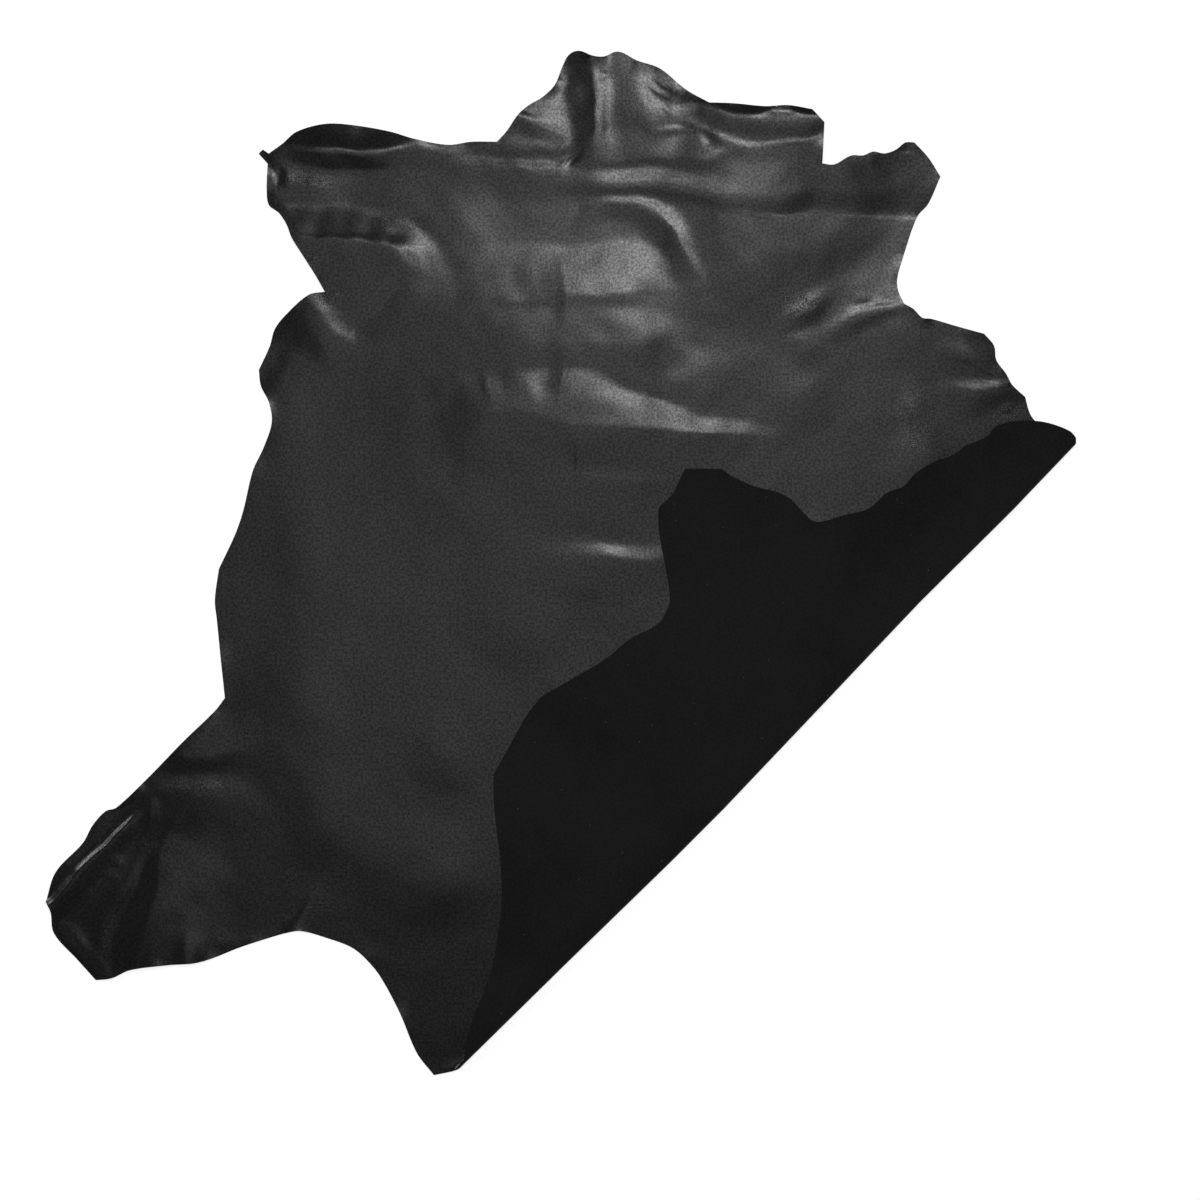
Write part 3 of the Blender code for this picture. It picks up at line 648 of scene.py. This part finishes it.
def near_cells(places, others, cell):
    """Which places have one of the others in their own square cell or in one that touches it."""
    cells, taken = (np.floor(each / cell).astype(int) for each in (places, others))
    numbering = (CELLS_ACROSS, 1)
    return np.any([np.isin((cells + step) @ numbering, taken @ numbering) for step in NEIGHBOURS], axis=0)


def add_apart(points, more, cell):
    """The points, and those of the new ones that have none of them in or next to their cell."""
    return np.concatenate((points, more[~near_cells(more, points, cell)]))


def flat_mesh(crease):
    """Points and triangles of the flat cut, closest together along its edge, folds and crease."""
    lying_side = edge_line(FOLDED_FLANK + FOLDED_SHANK + FOLDED_BUTT, OUTLINE_STEP)
    points = flat_outline(crease, lying_side)
    edge = list(range(len(points)))
    points = add_apart(points, crease_points(crease), NEAREST)
    for fold in reversed(BODY_FOLDS):
        points = add_apart(points, fold_points(fold), NEAREST)
    points = add_apart(points, field_points(crease, FIELD_STEP), FIELD_NEAREST)
    points = [Vector(point) for point in points]
    points, _, triangles, *_ = delaunay_2d_cdt(points, [], [edge], INSIDE_ONLY, MERGE_DISTANCE)
    used, corners = np.unique(triangles, return_inverse=True)
    return np.array(points)[used], corners.reshape(-1, 3)


def cut_edge(triangles):
    """The edges that only one triangle has, each in that triangle's direction."""
    edges = np.concatenate((triangles[:, (0, 1)], triangles[:, (1, 2)], triangles[:, (2, 0)]))
    count = triangles.max() + 1
    forwards = edges[:, 0] * count + edges[:, 1]
    backwards = edges[:, 1] * count + edges[:, 0]
    return edges[~np.isin(forwards, backwards)]


def nearness_to_edge(flat, edge):
    """One at the cut edge, falling evenly to zero at the reach of its curl."""
    near = near_cells(flat, flat[edge], CURL_REACH)
    distance = np.linalg.norm(flat[near, None] - flat[edge], axis=2).min(axis=1)
    nearness = np.zeros(len(flat))
    nearness[near] = np.clip(1 - distance / CURL_REACH, 0, 1)
    return nearness


def folded_places(flat, crease, nearness, size):
    """Each flat point's place and height once the side is folded over, and its share of crest.

    The body keeps its place. The roll is a half turn about an axis one radius above the body. The
    side beyond it lies turned over, and comes down from the roll's height to just over the body,
    along a smooth step, 3s squared less 2s cubed. It takes on the body's folds and ripples. The edge
    curls up by the square of its nearness.
    """
    along, beyond = crease.measures(flat)
    turn = np.clip(beyond / crease.radius, 0, pi)
    past_roll = np.maximum(beyond - crease.half_turn, 0)
    lying = np.where(beyond > 0, crease.radius * np.sin(turn) - past_roll, beyond)
    places = crease.place(along, lying)
    body, body_crests = relief(BODY_FOLDS, places)
    side, side_crests = relief(SIDE_FOLDS, places)
    settled = np.clip(past_roll / SETTLE_LENGTH, 0, 1)
    settled = settled ** 2 * (3 - 2 * settled)
    roll = crease.radius * (1 - np.cos(turn))
    layer_step = (size.thickness + size.layer_gap) / MM
    curled = np.clip(wave_field(flat, CURL_LENGTH, RIPPLE_SEED), 0, CURL_MOST)
    curl = CURL_HEIGHT * nearness ** 2 * curled
    heights = size.thickness / MM / 2 + rise_outside(places) + curl
    heights += np.maximum(body + ripples(places), 0)
    heights += roll * (1 - settled) + (layer_step + side) * settled
    crests = np.where(beyond > 0, side_crests, body_crests)
    return places, heights, crests


def point_normals(points, triangles):
    """The direction each point of the sheet faces: the sum of its triangles' areas as vectors."""
    first, second, third = (points[triangles[:, corner]] for corner in range(3))
    areas = np.cross(second - first, third - first)
    normals = np.zeros_like(points)
    for corner in range(3):
        np.add.at(normals, triangles[:, corner], areas)
    return normals / np.linalg.norm(normals, axis=1, keepdims=True)


class Shell:
    """Points, faces and maps of the leather with its thickness.

    The grain side is half the thickness out along the sheet's normals and the flesh side half in.
    The cut edge between them has a middle row that stands out a little, square to the edge.
    """

    def __init__(self, crease, size):
        flat, triangles = flat_mesh(crease)
        triangles = triangles[:, ::-1]
        edges = cut_edge(triangles)
        edge, ends = np.unique(edges, return_inverse=True)
        ends = ends.reshape(edges.shape)
        nearness = nearness_to_edge(flat, edge)
        places, heights, crests = folded_places(flat, crease, nearness, size)
        across, down = (places - TABLE_CENTRE).T
        middle = np.column_stack((across, -down, heights)) * MM
        normals = point_normals(middle, triangles)
        half = normals * size.thickness / 2
        forward = middle[edges[:, 1]] - middle[edges[:, 0]]
        outward = np.zeros((len(edge), 3))
        for end in range(2):
            np.add.at(outward, ends[:, end], np.cross(forward, normals[edges[:, end]]))
        outward /= np.linalg.norm(outward, axis=1, keepdims=True)
        bulge = middle[edge] + outward * size.thickness * EDGE_BULGE
        count = len(flat)
        self.points = np.concatenate((middle + half, middle - half, bulge))
        grain_end, grain_start = edges.T
        flesh_end, flesh_start = edges.T + count
        bulge_end, bulge_start = ends.T + 2 * count
        self.triangles = np.concatenate((triangles, triangles[:, ::-1] + count))
        self.walls = np.concatenate((
            np.column_stack((grain_start, grain_end, bulge_end, bulge_start)),
            np.column_stack((bulge_start, bulge_end, flesh_end, flesh_start)),
        ))
        self.slots = np.repeat((0, 1, 2), (len(triangles), len(triangles), len(self.walls)))
        across, down = (flat - TABLE_CENTRE).T
        pattern = np.column_stack((across, -down)) * MM
        self.pattern = np.concatenate((pattern, pattern * (-1, 1) + (LAYER_STEP, 0), pattern[edge]))
        self.crests = np.concatenate((crests, np.zeros(count + len(edge))))
        self.pebbled = np.concatenate((pebbled(flat), np.zeros(count + len(edge))))

    def mesh(self, name):
        """The shell as a smooth mesh, with a sharp line along both edges of its cut."""
        mesh = bpy.data.meshes.new(name)
        mesh.from_pydata(self.points, [], self.triangles.tolist() + self.walls.tolist())
        mesh.shade_smooth()
        mesh.polygons.foreach_set("material_index", self.slots.astype(np.int32))
        corners = np.zeros(len(mesh.loops), np.int32)
        mesh.loops.foreach_get("vertex_index", corners)
        pattern = mesh.uv_layers.new(name=PATTERN_MAP)
        pattern.uv.foreach_set("vector", self.pattern[corners].astype(np.float32).ravel())
        for label, values in ((CREST, self.crests), (PEBBLED, self.pebbled)):
            attribute = mesh.attributes.new(label, "FLOAT", "POINT")
            attribute.data.foreach_set("value", values.astype(np.float32))
        mesh.set_sharp_from_angle(angle=SHARP_ANGLE)
        mesh.update()
        return mesh


def fill_inputs(tree, node, inputs):
    """Sets a node's inputs to values, or links them to sockets."""
    for name, value in inputs.items():
        if isinstance(value, bpy.types.NodeSocket):
            tree.links.new(value, node.inputs[name])
        else:
            node.inputs[name].default_value = value


def add_node(tree, kind, inputs=(), **settings):
    """A node with its settings, and its inputs set or linked."""
    node = tree.nodes.new(kind)
    for name, value in settings.items():
        setattr(node, name, value)
    fill_inputs(tree, node, dict(inputs))
    return node


def calculate(tree, operation, first, second):
    """The result of a sum on two numbers."""
    node = add_node(tree, "ShaderNodeMath", {0: first, 1: second}, operation=operation)
    return node.outputs[0]


def smooth_range(tree, value, low, high, to_low=0.0, to_high=1.0):
    """The value carried smoothly from one range to another, and held at its ends."""
    inputs = {"Value": value, "From Min": low, "From Max": high, "To Min": to_low, "To Max": to_high}
    node = add_node(tree, "ShaderNodeMapRange", inputs, interpolation_type="SMOOTHSTEP")
    return node.outputs["Result"]


def mix_colours(tree, share, first, second):
    """A colour between two, by the share of the second."""
    inputs = {0: share, 6: first, 7: second}
    return add_node(tree, "ShaderNodeMix", inputs, data_type="RGBA").outputs[2]


def noise(tree, vector, size, detail=2.0, roughness=0.5, output="Fac"):
    """Soft noise from 0 to 1 whose lumps have about the given size in metres."""
    inputs = {"Vector": vector, "Scale": 1 / size, "Detail": detail, "Roughness": roughness}
    return add_node(tree, "ShaderNodeTexNoise", inputs, noise_dimensions="2D").outputs[output]


def combine(tree, operation, first, second):
    """The result of a sum on two vectors, or on a vector and a number where it is scaled."""
    inputs = {0: first, "Scale" if operation == "SCALE" else 1: second}
    return add_node(tree, "ShaderNodeVectorMath", inputs, operation=operation).outputs[0]


def new_group(name, outputs, **defaults):
    """An empty node group, and the sockets that give its inputs and take its results.

    Its inputs are a Vector and numbers with their defaults, and its outputs are numbers.
    """
    group = bpy.data.node_groups.new(name, "ShaderNodeTree")
    group.interface.new_socket("Vector", in_out="INPUT", socket_type="NodeSocketVector")
    for label, default in defaults.items():
        socket = group.interface.new_socket(label, in_out="INPUT", socket_type="NodeSocketFloat")
        socket.default_value = default
    for label in outputs:
        group.interface.new_socket(label, in_out="OUTPUT", socket_type="NodeSocketFloat")
    return group, group.nodes.new("NodeGroupInput").outputs, group.nodes.new("NodeGroupOutput").inputs


def cells(tree, vector, size, feature):
    """Cells of about the given size in metres."""
    inputs = {"Vector": vector, "Scale": calculate(tree, "DIVIDE", 1.0, size), "Randomness": 1.0}
    settings = {"voronoi_dimensions": "2D", "feature": feature}
    return add_node(tree, "ShaderNodeTexVoronoi", inputs, **settings).outputs["Distance"]


def grain_group():
    """Pebbles of leather grain: rounded cells parted by furrows, with finer pebbles on them.

    In places fine creases run over them, along the furrows between long and thin cells.
    """
    numbers = {"Pebble Size": 0.002, "Crease Depth": 0.3}
    group, given, result = new_group("leather grain", ["Height"], **numbers)
    stray_size, stray_reach = PEBBLE_STRAY
    stray = noise(group, given["Vector"], stray_size, output="Color")
    centred = combine(group, "SUBTRACT", stray, (0.5, 0.5, 0.5))
    vector = combine(group, "ADD", given["Vector"], combine(group, "SCALE", centred, stray_reach))
    edge = cells(group, vector, given["Pebble Size"], "DISTANCE_TO_EDGE")
    pebble = smooth_range(group, edge, 0.0, PEBBLE_FURROW)
    fine_size = calculate(group, "MULTIPLY", given["Pebble Size"], FINE_SIZE)
    middle = cells(group, vector, fine_size, "F1")
    fine = smooth_range(group, middle, 0.0, FINE_EDGE, FINE_HEIGHT, 0.0)
    stretched = combine(group, "MULTIPLY", vector, CREASE_STRETCH)
    crease_size = calculate(group, "MULTIPLY", given["Pebble Size"], CREASE_SPREAD)
    crease_edge = cells(group, stretched, crease_size, "DISTANCE_TO_EDGE")
    crease = smooth_range(group, crease_edge, 0.0, CREASE_WIDTH, 1.0, 0.0)
    creased = smooth_range(group, noise(group, given["Vector"], CREASED_SIZE), *CREASED_RANGE)
    crease = calculate(group, "MULTIPLY", crease, creased)
    crease = calculate(group, "MULTIPLY", crease, given["Crease Depth"])
    height = calculate(group, "ADD", calculate(group, "MULTIPLY", pebble, PEBBLE_HEIGHT), fine)
    group.links.new(calculate(group, "SUBTRACT", height, crease), result["Height"])
    return group


def mottle_group():
    """Soft cloudy unevenness at three sizes, each from 0 to 1."""
    group, given, result = new_group("soft mottle", [mottle.name for mottle in MOTTLES])
    for mottle in MOTTLES:
        uneven = noise(group, given["Vector"], mottle.size, mottle.detail, mottle.roughness)
        group.links.new(smooth_range(group, uneven, mottle.low, mottle.high), result[mottle.name])
    return group


def fibre_group():
    """Short raised fibres, and sparse specks of dust caught in them."""
    group, given, result = new_group("fibres and dust", ["Height", "Speck"], Dust=0.02)
    coarse = noise(group, given["Vector"], FIBRES, detail=4.0, roughness=0.65)
    fine = noise(group, given["Vector"], FINE_FIBRES, detail=2.0, roughness=0.6)
    height = calculate(group, "ADD", coarse, calculate(group, "MULTIPLY", fine, FINE_FIBRES_HEIGHT))
    group.links.new(height, result["Height"])
    inputs = {"Vector": given["Vector"], "Scale": 1 / DUST_CELL, "Randomness": 1.0}
    specks = add_node(group, "ShaderNodeTexVoronoi", inputs, voronoi_dimensions="2D", feature="F1")
    size = calculate(group, "LESS_THAN", specks.outputs["Distance"], DUST_SIZE)
    drawn = add_node(group, "ShaderNodeSeparateColor", {"Color": specks.outputs["Color"]})
    chosen = calculate(group, "LESS_THAN", drawn.outputs["Red"], given["Dust"])
    group.links.new(calculate(group, "MULTIPLY", size, chosen), result["Speck"])
    return group


def new_material(name):
    """An empty leather material: its nodes, its shader and the pattern map that it reads."""
    material = bpy.data.materials.new(name)
    material.use_nodes = True
    tree = material.node_tree
    shader = tree.nodes["Principled BSDF"]
    vector = add_node(tree, "ShaderNodeUVMap", uv_map=PATTERN_MAP).outputs["UV"]
    return material, tree, shader, vector


def read_attribute(tree, name):
    """One of the mesh's own attributes, from 0 to 1."""
    return add_node(tree, "ShaderNodeAttribute", attribute_name=name).outputs["Fac"]


def add_bump(tree, shader, height):
    """Bump from a height in millimetres."""
    bump = add_node(tree, "ShaderNodeBump", {"Strength": 1.0, "Distance": MM, "Height": height})
    tree.links.new(bump.outputs["Normal"], shader.inputs["Normal"])


def shades(colour, shares):
    """The colour made darker or lighter by each of the shares."""
    return [tuple(channel * share for channel in colour) + (1.0,) for share in shares]


def grain_leather(groups, size):
    """The dyed and lightly polished grain side, paler on the crests of its folds: partly wear, and partly a
    painted highlight.

    An uneven clear finish lies on it, and its pebbles stand up more in the pebbled patches.
    """
    material, tree, shader, vector = new_material("black grain leather")
    mottle = add_node(tree, "ShaderNodeGroup", {"Vector": vector}, node_tree=groups["mottle"])
    inputs = {"Vector": vector, "Pebble Size": size.pebble_size, "Crease Depth": CREASE_DEPTH}
    grain = add_node(tree, "ShaderNodeGroup", inputs, node_tree=groups["grain"])
    # The fold crests are painted paler: partly wear, and partly a painted highlight where the crests catch
    # the light.
    crest = calculate(tree, "MULTIPLY", read_attribute(tree, CREST), mottle.outputs["Blotch"])
    dark, light, crest_wear_and_highlight = shades(size.grain_colour, GRAIN_SHADES)
    colour = mix_colours(tree, mottle.outputs["Cloud"], dark, light)
    colour = mix_colours(tree, crest, colour, crest_wear_and_highlight)
    least, most = size.roughness - ROUGHNESS_SPREAD, size.roughness + ROUGHNESS_SPREAD
    fill_inputs(tree, shader, {
        "Base Color": colour,
        "Roughness": smooth_range(tree, mottle.outputs["Blotch"], 0, 1, least, most),
        "Coat Weight": calculate(tree, "MULTIPLY", mottle.outputs["Speckle"], FINISH),
        "Coat Roughness": size.roughness,
        "Specular IOR Level": 0.38,
    })
    coarser = calculate(tree, "MULTIPLY", read_attribute(tree, PEBBLED), PEBBLED_GAIN)
    depth = calculate(tree, "MULTIPLY", calculate(tree, "ADD", coarser, 1.0), size.grain_depth / MM)
    height = calculate(tree, "MULTIPLY", grain.outputs["Height"], depth)
    swell_size, swell_height = SWELL
    swell = calculate(tree, "MULTIPLY", noise(tree, vector, swell_size, detail=3.0), swell_height)
    add_bump(tree, shader, calculate(tree, "ADD", height, swell))
    return material


def flesh_leather(groups, size):
    """The matt flesh side, with its nap of short fibres and a little dust."""
    material, tree, shader, vector = new_material("black flesh side")
    mottle = add_node(tree, "ShaderNodeGroup", {"Vector": vector}, node_tree=groups["mottle"])
    inputs = {"Vector": vector, "Dust": DUST_SHARE}
    nap = add_node(tree, "ShaderNodeGroup", inputs, node_tree=groups["fibre"])
    dark, light = shades(size.flesh_colour, FLESH_SHADES)
    share = calculate(tree, "ADD", mottle.outputs["Cloud"], mottle.outputs["Speckle"])
    colour = mix_colours(tree, calculate(tree, "MULTIPLY", share, 0.5), dark, light)
    colour = mix_colours(tree, nap.outputs["Speck"], colour, DUST_COLOUR)
    rough = smooth_range(tree, mottle.outputs["Blotch"], 0, 1, *FLESH_ROUGHNESS)
    fill_inputs(tree, shader, {"Base Color": colour, "Roughness": rough, "Specular IOR Level": 0.15})
    add_bump(tree, shader, calculate(tree, "MULTIPLY", nap.outputs["Height"], FLESH_NAP))
    return material


def cut_edge_leather(groups, size):
    """The raw cut edge, where the fibres show, paler than the grain side."""
    material, tree, shader, vector = new_material("black cut edge")
    inputs = {"Vector": vector, "Dust": 0.0}
    nap = add_node(tree, "ShaderNodeGroup", inputs, node_tree=groups["fibre"])
    share = smooth_range(tree, nap.outputs["Height"], *EDGE_RANGE)
    colour = mix_colours(tree, share, *shades(size.edge_colour, EDGE_SHADES))
    fill_inputs(tree, shader, {"Base Color": colour, "Roughness": 0.85, "Specular IOR Level": 0.25})
    add_bump(tree, shader, calculate(tree, "MULTIPLY", nap.outputs["Height"], EDGE_NAP))
    return material


def length_property(name, description, default, low, high, precision=4):
    """A length in metres that a user can change."""
    return FloatProperty(
        name=name, description=description, default=default, min=low, max=high, precision=precision,
        subtype="DISTANCE", unit="LENGTH")


def colour_property(name, description, default):
    """A colour that a user can change."""
    return FloatVectorProperty(
        name=name, description=description, default=default, min=0.0, max=1.0, size=3, subtype="COLOR")


class LeatherHideSize(bpy.types.PropertyGroup):
    """Sizes, colours and finish of the hide."""

    thickness: length_property("Thickness", "Thickness of the leather", 0.0012, 0.0008, 0.003)
    roll_radius: length_property(
        "Roll radius", "Radius of the roll where the side is folded over", 0.0045, 0.002, 0.02)
    layer_gap: length_property(
        "Layer gap", "Gap between the body and the side folded over it", 0.0008, 0.0, 0.01)
    pebble_size: length_property("Pebble size", "Width of one pebble of the grain", 0.0022, 0.0005, 0.01)
    grain_depth: length_property(
        "Grain depth", "Depth of the furrows between the pebbles", 0.000012, 0.0, 0.001, precision=6)
    roughness: FloatProperty(
        name="Grain roughness", description="How dull the grain side is",
        default=0.245, min=0.1, max=0.8, subtype="FACTOR")
    grain_colour: colour_property("Grain colour", "Colour of the grain side", (0.0062, 0.0063, 0.0067))
    flesh_colour: colour_property("Flesh colour", "Colour of the flesh side", (0.0255, 0.0258, 0.0268))
    edge_colour: colour_property("Edge colour", "Colour of the cut edge", (0.02, 0.019, 0.0185))


class LeatherHideStage(bpy.types.PropertyGroup):
    """Floor, lights and camera."""

    floor_colour: colour_property("Floor colour", "Colour of the floor", (0.82, 0.82, 0.82))
    floor_glow: FloatProperty(
        name="Floor glow", description="Light given off by the floor, to keep it an even white",
        default=0.8, min=0.0, max=2.0)
    lamp_strength: FloatProperty(
        name="Lamp strength", description="Strength of the lamps, as a multiple of their own power",
        default=1.0, min=0.0, max=20.0)
    fill: FloatProperty(
        name="Surrounding light", description="Strength of the even light from all round",
        default=0.13, min=0.0, max=2.0)
    lens: FloatProperty(
        name="Lens", description="Focal length of the camera that looks straight down",
        default=180.0, min=20.0, max=400.0, unit="CAMERA")


class HIDE_OT_add_leather(bpy.types.Operator):
    """Add the folded leather hide in place of the plain sheet"""

    bl_idname = "object.add_leather_hide"
    bl_label = "Add Leather Hide"
    bl_options = {"REGISTER", "UNDO"}

    def execute(self, context):
        size = context.scene.leather_hide
        groups = {"grain": grain_group(), "mottle": mottle_group(), "fibre": fibre_group()}
        shell = Shell(Crease(size.roll_radius / MM), size)
        hide = bpy.data.objects.new("leather_hide", shell.mesh("leather_hide"))
        triangles = len(hide.data.loops) - 2 * len(hide.data.polygons)
        if triangles >= MOST_TRIANGLES:
            raise RuntimeError("the hide has too many triangles")
        for make in (grain_leather, flesh_leather, cut_edge_leather):
            hide.data.materials.append(make(groups, size))
        context.scene.collection.objects.link(hide)
        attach(hide, "root")
        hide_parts(NODE)
        return {"FINISHED"}


class HIDE_OT_set_stage(bpy.types.Operator):
    """Add the floor, the lights and the camera"""

    bl_idname = "scene.set_leather_hide_stage"
    bl_label = "Set Stage"
    bl_options = {"REGISTER", "UNDO"}

    def execute(self, context):
        scene, values = context.scene, context.scene.leather_hide_stage
        add_floor(scene, values)
        add_lamps(scene, values)
        add_world(scene, values)
        add_camera(scene, values)
        scene.view_settings.view_transform = "Standard"
        return {"FINISHED"}


class HIDE_PT_leather(bpy.types.Panel):
    """Lists the hide's values and the buttons that make it"""

    bl_idname = "HIDE_PT_leather"
    bl_label = "Leather Hide"
    bl_space_type = "VIEW_3D"
    bl_region_type = "UI"
    bl_category = "Hide"

    def draw(self, context):
        column = self.layout.column()
        for values, operator in (
            (context.scene.leather_hide, HIDE_OT_add_leather.bl_idname),
            (context.scene.leather_hide_stage, HIDE_OT_set_stage.bl_idname),
        ):
            for name in type(values).__annotations__:
                column.prop(values, name)
            column.operator(operator)


def add_floor(scene, values):
    """A wide plain floor just under the hide."""
    corners = [(across * FLOOR_REACH, along * FLOOR_REACH, FLOOR_TOP)
               for across, along in ((-1, -1), (1, -1), (1, 1), (-1, 1))]
    mesh = bpy.data.meshes.new("floor")
    mesh.from_pydata(corners, [], [(0, 1, 2, 3)])
    material = bpy.data.materials.new("pale floor")
    material.use_nodes = True
    tree = material.node_tree
    fill_inputs(tree, tree.nodes["Principled BSDF"], {
        "Base Color": (*values.floor_colour, 1.0), "Roughness": 0.9, "Specular IOR Level": 0.1,
        "Emission Color": WHITE, "Emission Strength": values.floor_glow,
    })
    mesh.materials.append(material)
    floor = bpy.data.objects.new("floor", mesh)
    scene.collection.objects.link(floor)


def add_lamps(scene, values):
    """The soft lamps, each turned to what it lights."""
    for row in LAMPS:
        light = bpy.data.lights.new(row.name, "AREA")
        light.shape = "RECTANGLE"
        light.size, light.size_y = row.width, row.depth
        light.energy = row.power * values.lamp_strength
        lamp = bpy.data.objects.new(row.name, light)
        lamp.location = row.place
        lamp.rotation_euler = (Vector(row.aim) - lamp.location).to_track_quat("-Z", "Y").to_euler()
        lamp.visible_camera = False
        scene.collection.objects.link(lamp)


def add_world(scene, values):
    """Dim even light from all round."""
    world = bpy.data.worlds.new("surroundings")
    world.use_nodes = True
    tree = world.node_tree
    fill_inputs(tree, tree.nodes["Background"], {"Color": WHITE, "Strength": values.fill})
    scene.world = world


def add_camera(scene, values):
    """A camera that looks straight down from high up, through a long lens."""
    camera = bpy.data.cameras.new("camera")
    camera.lens = values.lens
    camera.sensor_width = SENSOR_WIDTH
    camera.clip_end = VIEW_DEPTH
    viewer = bpy.data.objects.new("camera", camera)
    across, along = VIEW_CENTRE
    viewer.location = (across, along, VIEW_WIDTH * values.lens / SENSOR_WIDTH)
    scene.collection.objects.link(viewer)
    scene.camera = viewer


CLASSES = (LeatherHideSize, LeatherHideStage, HIDE_OT_add_leather, HIDE_OT_set_stage, HIDE_PT_leather)


def register():
    for each in CLASSES:
        bpy.utils.register_class(each)
    bpy.types.Scene.leather_hide = PointerProperty(type=LeatherHideSize)
    bpy.types.Scene.leather_hide_stage = PointerProperty(type=LeatherHideStage)


def unregister():
    del bpy.types.Scene.leather_hide_stage
    del bpy.types.Scene.leather_hide
    for each in reversed(CLASSES):
        bpy.utils.unregister_class(each)


def main():
    register()
    bpy.ops.object.add_leather_hide()
    bpy.ops.scene.set_leather_hide_stage()


if __name__ == "__main__":
    main()
